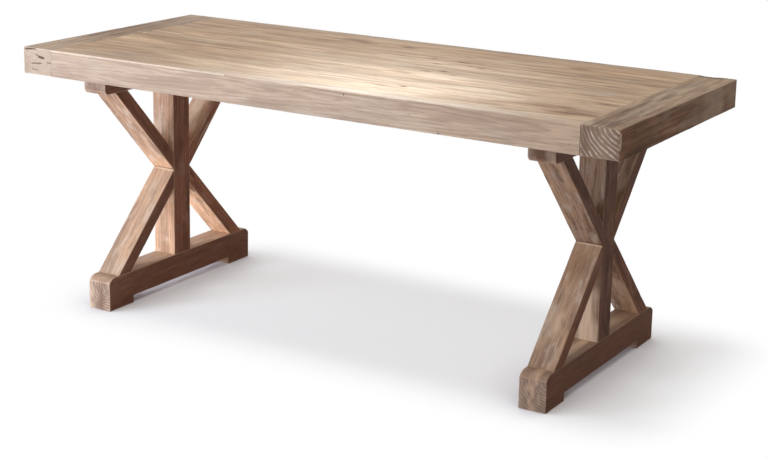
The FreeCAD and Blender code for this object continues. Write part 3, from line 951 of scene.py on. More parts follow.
        # What each kind of wear and painted light reads, where it starts and is full, and how much it shows
        # at most.
        kinds = {
            "end": (parts["cut"]["X"], 0.0, 1.0, 0.9),
            "grey": (parts["patina"]["Y"], 0.0, 1.0, 0.7),
            "brown": (parts["patina"]["Z"], 0.0, 1.0, 1.0),
            "rubbed": (parts["wear"]["X"], 0.2, 0.9, 0.8),
            "stain": (parts["wear"]["Z"], 0.0, 0.7, 0.9),
            "grime_and_shade": (parts["wear"]["Y"], 0.0, 0.9, 0.9),
        }
        shares, half = {}, self.BREAK_UP / 2
        for name, (value, start, full, most) in kinds.items():
            uneven = add(
                tree, "ShaderNodeMath", fibres, self.BREAK_UP, value, operation="MULTIPLY_ADD"
            )
            levels = (uneven, start + half, full + half, 0.0, most)
            shares[name] = add(tree, "ShaderNodeMapRange", *levels)
        with_ends = laid(tree, calmed, [(shares["end"], end_colour, "MIX")])
        levels = (parts["patina"]["X"], -1.0, 1.0, 1.0 - self.tone_swing, 1.0 + self.tone_swing)
        bright = add(tree, "ShaderNodeMapRange", *levels)
        toned = add(tree, "ShaderNodeVectorMath", with_ends, bright, operation="SCALE")
        # Brown lays painted shade on the faces along the table, rubbed painted highlights and painted light,
        # grime_and_shade painted shade lines, besides their real wear and soil.
        layers = [
            (shares["grey"], linear(self.grey), "MIX"),
            (shares["brown"], linear(self.brown), "MULTIPLY"),
            (shares["rubbed"], linear(self.rubbed), "MIX"),
            (shares["stain"], linear(self.stain), "MULTIPLY"),
            (shares["grime_and_shade"], linear(self.grime_and_shade), "MIX"),
        ]
        return laid(tree, toned, layers)


@dataclass(frozen=True)
class ZincPlatedSteel:
    """Carbon steel, cold headed and zinc plated: a dull silver with small cloudy patches and soft glints."""

    name: str = "zinc_plated_steel"
    bright: str = "b9bbbd"
    dull: str = "8c8d8e"
    cloud_mm: float = 4.0

    def material(self) -> Material:
        """Builds the finish.

        Returns:
            The material.
        """
        made = bpy.data.materials.new(self.name)
        tree = blank(made)
        place = add(tree, "ShaderNodeTexCoord").outputs["Object"]
        size = 1.0 / (self.cloud_mm * MM)
        cloud = add(tree, "ShaderNodeTexNoise", Vector=place, Scale=size, Detail=3.0)
        dull, bright = linear(self.dull), linear(self.bright)
        colour = add(tree, "ShaderNodeMix", cloud, dull, bright, data_type="RGBA")
        rough = add(tree, "ShaderNodeMapRange", Value=cloud, To_Min=0.28, To_Max=0.5)
        shader = add(
            tree, "ShaderNodeBsdfPrincipled", Base_Color=colour, Roughness=rough, Metallic=1.0
        )
        add(tree, "ShaderNodeOutputMaterial", Surface=shader)
        return made


TOP_FIGURES = (
    Figure(620.0, 95.0, "86664a", 0.46, 0.65, 0.74),
    Figure(420.0, 60.0, "e4d0b6", 0.47, 0.65, 0.74),
    Figure(330.0, 42.0, "988270", 0.50, 0.66, 0.72),
    Figure(190.0, 14.0, "6f523d", 0.49, 0.66, 0.52),
    Figure(210.0, 12.0, "efdfc9", 0.50, 0.66, 0.50),
    Figure(120.0, 6.0, "5f4632", 0.53, 0.68, 0.42),
    Figure(90.0, 5.0, "ead8c0", 0.55, 0.70, 0.32),
    Figure(36.0, 3.6, "3f2b1e", 0.62, 0.71, 0.58),
)
TRESTLE_FIGURES = (
    Figure(330.0, 48.0, "866d5a", 0.46, 0.62, 0.66),
    Figure(260.0, 36.0, "e3b78f", 0.48, 0.64, 0.62),
    Figure(70.0, 30.0, "dccab8", 0.52, 0.66, 0.70, 3.0),
    Figure(80.0, 22.0, "704a33", 0.52, 0.66, 0.62, 3.0),
    Figure(150.0, 11.0, "694229", 0.50, 0.68, 0.32, 3.0),
    Figure(150.0, 8.0, "e6cbb0", 0.51, 0.68, 0.34, 3.0),
    Figure(70.0, 3.6, "523221", 0.54, 0.69, 0.40),
    Figure(20.0, 6.0, "f0e2d2", 0.63, 0.73, 0.45, 3.0),
    Figure(30.0, 3.4, "36221a", 0.63, 0.72, 0.50),
)
TOP_WOOD = ReclaimedWood(
    name="reclaimed_pine_brushed_and_bleached",
    early="ccae90", late="937254", late_share=0.48, figures=TOP_FIGURES, end_dark="8b705f",
    end_pale="fff3e4", brown="c0a088", rubbed="ecdcc9", grime_and_shade="3a291d", stain="8a6647", grey="b5a79c",
    roughness=0.58, relief=0.15,
)
TRESTLE_WOOD = ReclaimedWood(
    name="reclaimed_pine_brushed_and_waxed",
    early="c9a283", late="8f6649", late_share=0.45, figures=TRESTLE_FIGURES, end_dark="735643",
    end_pale="ead6c2", brown="a88578", rubbed="ecd0b4", grime_and_shade="2f2018", stain="9a7c62", grey="b8a99d",
    roughness=0.55, tone_swing=0.4,
)
HIDDEN_WOOD = ReclaimedWood(
    name="pine_tongue_freshly_sawn",
    early="d3b48c", late="b58a5d", late_share=0.5, figures=TRESTLE_FIGURES[4:], end_dark="b08a62",
    end_pale="c9a67c", brown="b08a62", rubbed="d3b48c", grime_and_shade="4a3626", stain="8a6647", grey="a79a88",
    roughness=0.65, ring=3.0,
)


class Finishes:
    """All the table's finishes, built once."""

    def __init__(self) -> None:
        """Builds each material."""
        self.top: Material = TOP_WOOD.material(Mapped.CARRIED)
        self.trestle: Material = TRESTLE_WOOD.material(Mapped.CARRIED)
        self.trestle_across: Material = TRESTLE_WOOD.material(Mapped.OBJECT, (0.0, 0.0, math.pi / 2))
        self.hidden: Material = HIDDEN_WOOD.material(Mapped.OBJECT)
        self.steel: Material = ZincPlatedSteel().material()


def settle(node: str, ending: str, mesh: Mesh, material: Material) -> None:
    """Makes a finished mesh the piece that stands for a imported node.

    Args:
        node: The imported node.
        ending: What the piece's name adds to the node's.
        mesh: The mesh, in its place.
        material: Its finish.
    """
    mesh.materials.clear()
    mesh.materials.append(material)
    piece = in_scene(f"{node}_{ending}", mesh)
    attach(piece, BODY)
    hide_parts(node)
    LOG.info("%s: %d faces, stands for %s", piece.name, len(mesh.polygons), node)


def dress(node: str, material: Material) -> None:
    """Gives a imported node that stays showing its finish.

    Args:
        node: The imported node.
        material: Its finish.
    """
    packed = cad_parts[node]
    if not packed.material_slots:
        packed.data.materials.append(material)
    for each in packed.material_slots:
        each.material = material
    LOG.info("%s: kept, finish %s", node, material.name)


def islands(node: str) -> list[tuple[Vector, Vector]]:
    """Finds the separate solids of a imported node.

    Args:
        node: The node's name.

    Returns:
        The lowest and highest corner of each solid, from the front of the table to the back.
    """
    copy = bmesh.new()
    copy.from_mesh(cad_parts[node].data)
    bmesh.ops.remove_doubles(copy, verts=copy.verts, dist=1e-6)
    waiting = set(copy.verts)
    found = []
    while waiting:
        group, rim = set(), [waiting.pop()]
        while rim:
            vertex = rim.pop()
            group.add(vertex)
            reached = {link.other_vert(vertex) for link in vertex.link_edges} & waiting
            waiting -= reached
            rim.extend(reached)
        places = np.array([v.co[:] for v in group])
        found.append((Vector(places.min(0)), Vector(places.max(0))))
    copy.free()
    return sorted(found, key=lambda pair: pair[0].y)


# The open checks in the left end grain, and the darker line along the far left arris.
LEFT_END_MARKS = (
    Mark((-908, FRONT_MM, 745), (-866, FRONT_MM, 748), 3.0, 1.2, 0.85),
    Mark((-868, FRONT_MM, 733), (-850, FRONT_MM, 726), 2.6, 1.2, 0.6),
    Mark((-858, FRONT_MM, 726), (-835, FRONT_MM, 724), 3.6, 2.2, 0.85),
    Mark((-886, FRONT_MM, 705), (-844, FRONT_MM, 709), 2.6, 1.2, 0.65),
    Mark((-828, FRONT_MM, 713), (-810, FRONT_MM, 712), 2.2, 1.0, 0.55),
    Mark((-884, FRONT_MM, 690), (-858, FRONT_MM, 688), 2.4, 0.7, 0.4),
    Mark((-914, 400, 750), (-914, -400, 750), 5.0, 0.0, 0.4, True),
)
LEFT_END_STAINS = (
    Stain((-824, 18), (15, 9), pale=1.0),
    Stain((-910, FRONT_MM), (26, 9), brown=0.2),
    Stain((-862, 40), (110, 390), brown=0.45),
    Stain((-893, 60), (9, 320), brown=0.8),
    Stain((-846, -90), (7, 220), brown=0.7),
    Stain((-868, -130), (7, 190), pale=0.7),
    Stain((-831, 190), (7, 170), pale=0.6),
)
# The scar at the far right corner, a painted highlight on the front upright arris and a painted shade line on
# the rear upright arris.
RIGHT_END_MARKS_AND_PAINTED_LIGHT = (
    Mark((816, -FRONT_MM - 5, 750), (872, -FRONT_MM - 5, 750), 5.5, 3.2),
    Mark((806, -FRONT_MM - 17, 750), (880, -FRONT_MM - 19, 750), 15.0, 0.4, 0.6),
    Mark((914, FRONT_MM, 700), (914, FRONT_MM, 742), 4.0, 0.0, -0.85),
    Mark((914, -FRONT_MM, 660), (914, -FRONT_MM, 760), 5.0, 0.0, 0.55, True),
)
RIGHT_END_STAINS = (
    Stain((914, 200), (60, 520), pale=0.5),
    Stain((914, -260), (30, 220), brown=0.45),
    Stain((914, 120), (30, 60), brown=0.3),
    Stain((914, 370), (30, 60), brown=0.25),
    Stain((870, FRONT_MM), (60, 9), pale=0.35),
    Stain((862, 40), (90, 340), brown=0.34),
    Stain((872, -330), (60, 80), brown=0.5),
    Stain((826, FRONT_MM), (20, 10), brown=0.25),
    Stain((838, -120), (12, 240), brown=0.6),
    Stain((850, 240), (34, 120), grey=0.6),
)
# Two nail holes, a lost splinter, and the left half of the front arris painted pale, as rubbed wear and a
# painted highlight.
FRONT_RAIL_MARKS_AND_HIGHLIGHT = (
    Mark((159, -382, 742), (159, -382, 739), 1.8, 3.0),
    Mark((432, -382, 676), (434, -382, 676), 3.2, 3.0),
    Mark((-330, -382, 750), (-213, -382, 750), 3.2, 2.0, 0.25, True),
    Mark((-1100, -381, 749), (-216, -381, 749), 4.0, 0.0, -0.8, True),
)
# A painted shade line along the far arris of the top.
REAR_RAIL_SHADE_LINE = (Mark((-1300, 382, 749), (1300, 382, 749), 6.0, 0.0, 0.5, True),)
# Each plank's tone and heart, from the front to the back.
PLANKS = (
    (0.2, Heart(20.0, -70.0, 20.0, 6.0, 4.5)),
    (-0.15, Heart(-30.0, -45.0, -12.0, 10.0, 5.5)),
    (0.3, Heart(8.0, -95.0, 9.0, -14.0, 4.0)),
    (-0.3, Heart(40.0, -60.0, -22.0, 4.0, 6.5)),
    (0.1, Heart(-12.0, -50.0, 14.0, 12.0, 5.0)),
    (-0.2, Heart(25.0, -85.0, -6.0, -9.0, 4.2)),
    (0.05, Heart(-36.0, -55.0, 18.0, 7.0, 6.0)),
)
# Small brown flecks in the planks: middle, half length and half width in mm, and strength.
FLECKS = (
    (109, 162, 14, 9, 0.8), (156, 93, 24, 9, 0.8), (250, 115, 19, 10, 1.0), (288, 105, 19, 9, 1.0),
    (205, 152, 28, 9, 0.7), (227, 8, 17, 9, 0.8), (273, -25, 17, 9, 0.8), (187, -19, 22, 8, 0.6),
    (248, -238, 14, 9, 0.8), (768, -138, 50, 15, 0.7), (675, 83, 34, 12, 0.6), (700, -231, 48, 15, 0.7),
    (767, 151, 50, 13, 0.5), (508, 263, 44, 18, 0.5), (-37, 270, 34, 14, 0.6), (183, 235, 34, 15, 0.5),
)
PLANK_STAINS = (
    Stain((742, -283), (125, 44), brown=0.62),
    Stain((650, -242), (120, 34), brown=0.5),
    Stain((450, -352), (300, 26), brown=0.35),
    Stain((-459, -64), (70, 10), brown=0.5),
    Stain((-206, 285), (110, 30), brown=0.5),
    Stain((255, 119), (90, 16), brown=0.5),
    Stain((693, -14), (90, 40), grey=0.9),
    Stain((620, 120), (260, 60), brown=0.2),
    Stain((560, -310), (330, 90), brown=0.25),
    Stain((-463, 330), (180, 16), grey=0.7),
    Stain((-742, 63), (80, 9), pale=1.2),
    Stain((-806, 18), (14, 9), pale=1.0),
    Stain((-600, -315), (260, 90), brown=0.2, grey=0.9),
    *(Stain((x, y), (along, across), brown) for x, y, along, across, brown in FLECKS),
)


@dataclass
class TableTop:
    """The framed plank top: end boards, rails, seven planks and the battens below."""

    finishes: Finishes
    frame_arris: float = 2.4 * MM
    plank_seam: float = 1.1 * MM
    end_upright: float = 5.0 * MM
    end_seam: float = 0.25 * MM
    rail_joint: float = 0.2 * MM

    def build(self) -> None:
        """Builds and dresses every piece of the top."""
        for timber in (*self.end_boards(), *self.rails(), *self.planks()):
            settle(timber.node, "timber", timber.mesh(), self.finishes.top)
        for node in ("left_batten", "right_batten"):
            dress(node, self.finishes.trestle_across)
        dress("edge_splines", self.finishes.hidden)

    def end_boards(self) -> list[Timber]:
        """Lays out the two boards across the ends, end grain open at the front and back.

        Returns:
            The boards, the left one first.
        """
        shared = {"arris": self.frame_arris, "upright": self.end_upright, "seam": self.end_seam}
        shared |= {"seam_dirt": 0.0, "cell": (6 * MM, 2.2 * MM, 2.2 * MM)}
        # Each end board's outer face gets brown, partly painted shade.
        left = Timber(
            "left_end_board", *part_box("left_end_board"), Run.WIDTH, 11,
            Heart(18.0, -64.0, 6.0, -20.0, 6.5), Patina(-0.5, 0.65, 0.05, brown_left=0.6, calm=0.3),
            upright_side=1.0, covered="-v", marks=LEFT_END_MARKS, stains=LEFT_END_STAINS, **shared,
        )
        right = Timber(
            "right_end_board", *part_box("right_end_board"), Run.WIDTH, 12,
            Heart(-70.0, 74.0, 14.0, 8.0, 11.0), Patina(-0.65, 0.1, 1.0, brown_right=0.85, rub=0.3),
            upright_side=-1.0, covered="+v", marks=RIGHT_END_MARKS_AND_PAINTED_LIGHT, stains=RIGHT_END_STAINS, **shared,
        )
        return [left, right]

    @staticmethod
    def between(node: str) -> tuple[Vector, Vector]:
        """Reads a lengthwise board's box, without its tongues in the end boards.

        Args:
            node: The board's node.

        Returns:
            Its lowest and highest corner.
        """
        low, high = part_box(node)
        low.x, high.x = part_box("left_end_board")[1].x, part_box("right_end_board")[0].x
        return low, high

    def rails(self) -> list[Timber]:
        """Lays out the two edge rails, between the end boards.

        Returns:
            The rails, the front one first.
        """
        made = []
        for node, seed, across, seam, marks in (
            ("front_rail", 13, 9.0, "+v", FRONT_RAIL_MARKS_AND_HIGHLIGHT),
            ("rear_rail", 14, -9.0, "-v", REAR_RAIL_SHADE_LINE),
        ):
            rail = Timber(
                node, *self.between(node), Run.LENGTH, seed, Heart(across, 9.0, 24.0, 8.0, 6.0),
                Patina(-0.1, 0.55, calm=0.4, rub=0.3), self.frame_arris, joint=self.rail_joint,
                seam_dirt=0.0, cell=(8 * MM, 5 * MM, 4 * MM), covered=f"-u +u {seam}", marks=marks,
            )
            made.append(rail)
        return made

    def planks(self) -> list[Timber]:
        """Lays out the lengthwise planks, each from its own tree.

        Returns:
            The planks, from the front to the back.
        """
        made = []
        for number, (tone, heart) in enumerate(PLANKS, 1):
            node = f"plank_{number}"
            plank = Timber(
                node, *self.between(node), Run.LENGTH, 20 + number, heart, Patina(tone, 0.1, calm=0.38),
                seam=self.plank_seam, cell=(9 * MM, 4 * MM, 9 * MM), covered="-u +u -v +v",
                stains=PLANK_STAINS,
            )
            made.append(plank)
        return made


# Each timber's tone, partly its own and partly painted light: high on the left trestle's lit rear braces, and
# low over the right trestle as painted shade, least on its lower braces.
LEFT_TONES_AND_PAINTED_LIGHT = {
    "bearer": 0.25, "post": 0.4, "foot": -0.05,
    "front_upper": 0.26, "rear_upper": 1.0, "front_lower": 0.1, "rear_lower": 0.95,
}
RIGHT_TONES_AND_PAINTED_SHADE = {
    "bearer": -0.6, "post": -1.0, "foot": -0.75,
    "front_upper": -0.95, "rear_upper": -0.7, "front_lower": -0.35, "rear_lower": -0.2,
}
# Stains on each trestle timber; the pale ones on the left rear upper brace, the right post's lower front and
# the right foot's top are painted light.
LEFT_STAINS_AND_PAINTED_LIGHT = {
    "bearer": [Stain((-693, -338), (60, 14), brown=0.4)],
    # Painted light on the rear upper brace's front face.
    "rear_upper": [Stain((-693, 180), (40, 280), pale=1.5)],
    "front_lower": [Stain((-693, -80), (70, 60), grey=0.5)],
    "foot": [Stain((-731, -336), (26, 30), pale=0.8), Stain((-687, -336), (20, 12), brown=0.45)],
}
RIGHT_STAINS_AND_PAINTED_LIGHT = {
    "bearer": [Stain((693, -338), (60, 14), brown=0.75)],
    "front_lower": [
        Stain((693, -85), (70, 60), brown=0.3),
        Stain((675, -190), (60, 80), pale=0.65),
        Stain((720, -285), (50, 60), brown=0.3),
    ],
    "foot": [
        Stain((655, -336), (26, 30), pale=0.4),
        Stain((699, -336), (90, 34), brown=0.33, grey=0.6),
        # Painted light along the foot's top.
        Stain((693, -150), (27, 320), pale=1.3),
        Stain((693, 160), (27, 200), pale=0.7),
    ],
    # Painted light on the lower front of the post.
    "post": [Stain((693, -38), (58, 26), pale=1.1, ceiling=330.0)],
}


@dataclass
class Trestle:
    """One X-braced trestle: bearer, post, foot, four braces, slip tenons and threaded inserts.

    Each timber has a tone and stains of its own, which also hold painted light and shade, and the trestle its
    own rub and calm.
    """

    side: str
    seed: int
    finishes: Finishes
    tones_and_painted_light: dict[str, float]
    rub: float
    calm: float
    stains_and_painted_light: dict[str, list[Stain]]
    arris: float = 1.7 * MM
    cell: Triple = (8 * MM, 5 * MM, 5 * MM)
    foot_cell: Triple = (6 * MM, 4 * MM, 4 * MM)
    foot_calm: float = 0.5
    end_grain: float = 0.7
    # Brown on the faces along the table, left and right: partly old skin, partly painted shade.
    brown: tuple[float, float] = (0.8, 0.9)
    painted_elbow_lines_mm: float = 4.2

    def build(self) -> None:
        """Builds and dresses every piece of the trestle."""
        for timber in (self.bearer(), self.foot(), self.post(), *self.braces()):
            settle(timber.node, "timber", timber.mesh(), self.finishes.trestle)
        dress(f"{self.side}_slip_tenons", self.finishes.hidden)
        dress(f"{self.side}_threaded_inserts", self.finishes.steel)

    def shared(self, piece: str, grey: float) -> dict[str, object]:
        """Gathers what every timber of the trestle is given.

        Args:
            piece: Its name without the side.
            grey: How grey it is.

        Returns:
            Its patina, with brown that is partly painted shade on the faces along the table, its stains and
            its arris.
        """
        calm = self.foot_calm if piece == "foot" else self.calm
        patina = Patina(self.tones_and_painted_light[piece], grey, self.end_grain, *self.brown, calm, self.rub)
        return {"patina": patina, "stains": self.stains_and_painted_light.get(piece, ()), "arris": self.arris}

    def bearer(self) -> Bearer:
        """Lays out the top beam.

        Returns:
            The bearer, with a bore for each bolt.
        """
        node = f"{self.side}_bearer"
        return Bearer(
            node, *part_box(node), Run.WIDTH, self.seed, Heart(10.0, -30.0, 12.0, 9.0, 5.0),
            cell=self.cell, covered="+w", **self.shared("bearer", 0.6),
            bores=[(low + high) / 2 for low, high in islands(f"{node}_bolts")],
        )

    def foot(self) -> Foot:
        """Lays out the floor beam.

        Returns:
            The foot.
        """
        node, heart = f"{self.side}_foot", Heart(-34.0, 44.0, 10.0, 12.0, 9.5)
        shared = self.shared("foot", 0.45)
        return Foot(node, *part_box(node), Run.WIDTH, self.seed + 1, heart, cell=self.foot_cell, **shared)

    def post(self) -> Timber:
        """Lays out the centre post, between foot and bearer.

        Returns:
            The post, without its tenons.
        """
        node = f"{self.side}_post"
        low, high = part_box(node)
        low.z, high.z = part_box(f"{self.side}_foot")[1].z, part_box(f"{self.side}_bearer")[0].z
        return Timber(
            node, low, high, Run.UPRIGHT, self.seed + 2, Heart(8.0, 34.0, 14.0, 10.0, 5.0),
            cell=self.cell, covered="-u +u", **self.shared("post", 0.1),
        )

    def braces(self) -> list[Brace]:
        """Lays out the four diagonals, a painted shadow line over a painted highlight line where upper and
        lower meet.

        Returns:
            The braces.
        """
        made = []
        greys = {"front_upper": 0.05, "rear_upper": 0.2, "front_lower": 0.3, "rear_lower": 0.05}
        for number, (place, grey) in enumerate(greys.items()):
            node = f"{self.side}_{place}_brace"
            low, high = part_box(node)
            elbow = (high.y if low.y < 0 else low.y) / MM
            # Lower braces get a painted highlight line at the elbow, upper braces a painted shadow line above
            # it.
            height, dirt_and_shade = (357.0, -1.0) if "lower" in place else (364.0, 0.7)
            ends = [(x / MM, elbow, height) for x in (low.x, high.x)]
            heart = Heart(44.0 - 9.0 * number, 12.0 * number - 20.0, 16.0, 12.0, 5.0 + 0.4 * number)
            brace = Brace(
                node, low, high, Run.WIDTH, self.seed + 3 + number, heart, cell=self.cell,
                covered="-u +u", marks=[Mark(*ends, self.painted_elbow_lines_mm, 0.0, dirt_and_shade, True)],
                **self.shared(place, grey),
            )
            made.append(brace)
        return made


def seating(name: str, sizes: Sequence[str]) -> tuple[NodeTree, NodeOutputs]:
    """Starts a node tree that sets a shape at each seat point.

    Args:
        name: The tree's name.
        sizes: The names of its size inputs.

    Returns:
        The tree and its inputs.
    """
    tree = bpy.data.node_groups.new(name, "GeometryNodeTree")
    tree.interface.new_socket("Seats", in_out="INPUT", socket_type="NodeSocketGeometry")
    for size in sizes:
        tree.interface.new_socket(size, in_out="INPUT", socket_type="NodeSocketFloat")
    tree.interface.new_socket("Finish", in_out="INPUT", socket_type="NodeSocketMaterial")
    tree.interface.new_socket("Copies", in_out="OUTPUT", socket_type="NodeSocketGeometry")
    return tree, add(tree, "NodeGroupInput").outputs


def seated(tree: NodeTree, given: NodeOutputs, shape: Node) -> NodeTree:
    """Ends such a tree with a copy of the shape at each seat, made real and given its finish.

    Args:
        tree: The tree.
        given: Its inputs.
        shape: The shape.

    Returns:
        The finished tree.
    """
    copies = add(tree, "GeometryNodeInstanceOnPoints", Points=given["Seats"], Instance=shape)
    real = add(tree, "GeometryNodeRealizeInstances", copies)
    finished = add(tree, "GeometryNodeSetMaterial", Geometry=real, Material=given["Finish"])
    add(tree, "NodeGroupOutput", Copies=finished)
    return tree


@dataclass(frozen=True)
class HexBolt:
    """A hexagon bolt with its thread, set at each seat by a node tree."""

    across_flats: float = 13.0 * MM
    head_height: float = 5.3 * MM
    shank: float = 8.0 * MM
    pitch: float = 1.25 * MM
    threaded: float = 34.0 * MM
    steps: int = 20
    ridge: float = 0.42  # The thread's height, as a share of its pitch.
    root: float = 0.3  # How far it is let into the shank, as a share of its pitch.

    def tree(self) -> NodeTree:
        """Builds the tree that turns seat points to bolts pointing up.

        Returns:
            The tree.
        """
        sizes = ("Head radius", "Head height", "Shank radius", "Length", "Threaded", "Pitch")
        tree, given = seating("hex_bolts", sizes)
        head_radius, head_height, radius, length, threaded, pitch = (given[size] for size in sizes)
        turns = add(tree, "ShaderNodeMath", threaded, pitch, operation="DIVIDE")
        helix = add(
            tree, "GeometryNodeCurveSpiral", Resolution=self.steps, Rotations=turns,
            Start_Radius=radius, End_Radius=radius, Height=threaded,
        )
        size = add(tree, "ShaderNodeMath", pitch, self.ridge, operation="MULTIPLY")
        ridge = add(tree, "GeometryNodeCurvePrimitiveCircle", Resolution=3, Radius=size)
        thread = add(tree, "GeometryNodeCurveToMesh", Curve=helix, Profile_Curve=ridge, Fill_Caps=True)
        head = add(tree, "GeometryNodeMeshCylinder", Vertices=6, Radius=head_radius, Depth=head_height)
        shank = add(tree, "GeometryNodeMeshCylinder", Vertices=24, Radius=radius, Depth=length)
        tip = add(tree, "ShaderNodeMath", length, threaded, operation="SUBTRACT")
        heights = (
            (head, add(tree, "ShaderNodeMath", head_height, 0.5, operation="MULTIPLY")),
            (shank, add(tree, "ShaderNodeMath", length, 0.5, head_height, operation="MULTIPLY_ADD")),
            (thread, add(tree, "ShaderNodeMath", tip, head_height, operation="ADD")),
        )
        whole = add(tree, "GeometryNodeJoinGeometry")
        for part, height in heights:
            at = add(tree, "ShaderNodeCombineXYZ", Z=height)
            moved = add(tree, "GeometryNodeTransform", Geometry=part, Translation=at)
            tree.links.new(moved.outputs["Geometry"], whole.inputs["Geometry"])
        return seated(tree, given, whole)


@dataclass(frozen=True)
class Washer:
    """A flat washer, a square section swept round each seat by a node tree."""

    steps: int = 40
    play: float = 0.3 * MM

    def tree(self) -> NodeTree:
        """Builds the tree that turns seat points to washers.

        Returns:
            The tree.
        """
        tree, given = seating("washers", ("Middle radius", "Width", "Thickness"))
        radius, width, thickness = given["Middle radius"], given["Width"], given["Thickness"]
        path = add(tree, "GeometryNodeCurvePrimitiveCircle", Resolution=self.steps, Radius=radius)
        section = add(tree, "GeometryNodeCurvePrimitiveQuadrilateral", Width=width, Height=thickness)
        ring = add(tree, "GeometryNodeCurveToMesh", Curve=path, Profile_Curve=section)
        return seated(tree, given, ring)


def grown(tree: NodeTree, seats: Sequence[Vector], inputs: dict[str, object], name: str) -> Mesh:
    """Runs a node tree on seat points and keeps the result as a plain mesh.

    Args:
        tree: The tree.
        seats: Where its copies go.
        inputs: The value of each named input.
        name: The new mesh's name.

    Returns:
        The mesh.
    """
    points = bpy.data.meshes.new(f"{name}_seats")
    points.from_pydata([tuple(seat) for seat in seats], [], [])
    holder = in_scene(points.name, points)
    modifier = holder.modifiers.new("copies", "NODES")
    modifier.node_group = tree
    for item in tree.interface.items_tree:
        if item.in_out == "INPUT" and item.name in inputs:
            modifier[item.identifier] = inputs[item.name]
    return plain(holder, name)


@dataclass
class Hardware:
    """The bolts and washers that hold one trestle to the planks."""

    side: str
    finishes: Finishes
    bolt: HexBolt = HexBolt()
    washer: Washer = Washer()

    def build(self) -> None:
        """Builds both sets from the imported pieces' places."""
        node = f"{self.side}_bearer_bolts"
        bolts = islands(node)
        seats = [Vector(((low.x + high.x) / 2, (low.y + high.y) / 2, low.z)) for low, high in bolts]
        values = {
            "Head radius": self.bolt.across_flats / math.sqrt(3),
            "Head height": self.bolt.head_height,
            "Shank radius": self.bolt.shank / 2 - self.bolt.root * self.bolt.pitch,
            "Length": bolts[0][1].z - bolts[0][0].z - self.bolt.head_height,
            "Threaded": self.bolt.threaded,
            "Pitch": self.bolt.pitch,
            "Finish": self.finishes.steel,
        }
        mesh = grown(self.bolt.tree(), seats, values, f"{self.side}_bolts")
        settle(node, "threaded", mesh, self.finishes.steel)
        node = f"{self.side}_bolt_washers"
        rings = islands(node)
        outer = (rings[0][1].x - rings[0][0].x) / 2
        bore = self.bolt.shank / 2 + self.washer.play
        values = {
            "Middle radius": (outer + bore) / 2,
            "Width": outer - bore,
            "Thickness": rings[0][1].z - rings[0][0].z,
            "Finish": self.finishes.steel,
        }
        seats = [(low + high) / 2 for low, high in rings]
        mesh = grown(self.washer.tree(), seats, values, f"{self.side}_washers")
        settle(node, "flat", mesh, self.finishes.steel)


@dataclass(frozen=True)
class Softbox:
    """An oblong studio lamp: its place, its aim, its size, its power, and how many degrees wide it throws."""

    name: str
    place: Triple
    aim: Triple
    width: float
    height: float
    power: float
    colour: str = "ffffff"
    spread: float = 180.0

    def build(self) -> None:
        """Hangs the lamp."""
        lamp = bpy.data.lights.new(self.name, "AREA")
        lamp.shape = "RECTANGLE"
        lamp.size, lamp.size_y = self.width, self.height
        lamp.energy = self.power
        lamp.spread = math.radians(self.spread)
        lamp.color = linear(self.colour)[:3]
        holder = in_scene(self.name, lamp)
        holder.location = self.place
        way = Vector(self.aim) - Vector(self.place)
        holder.rotation_euler = way.to_track_quat("-Z", "Y").to_euler()
        holder.visible_camera = False


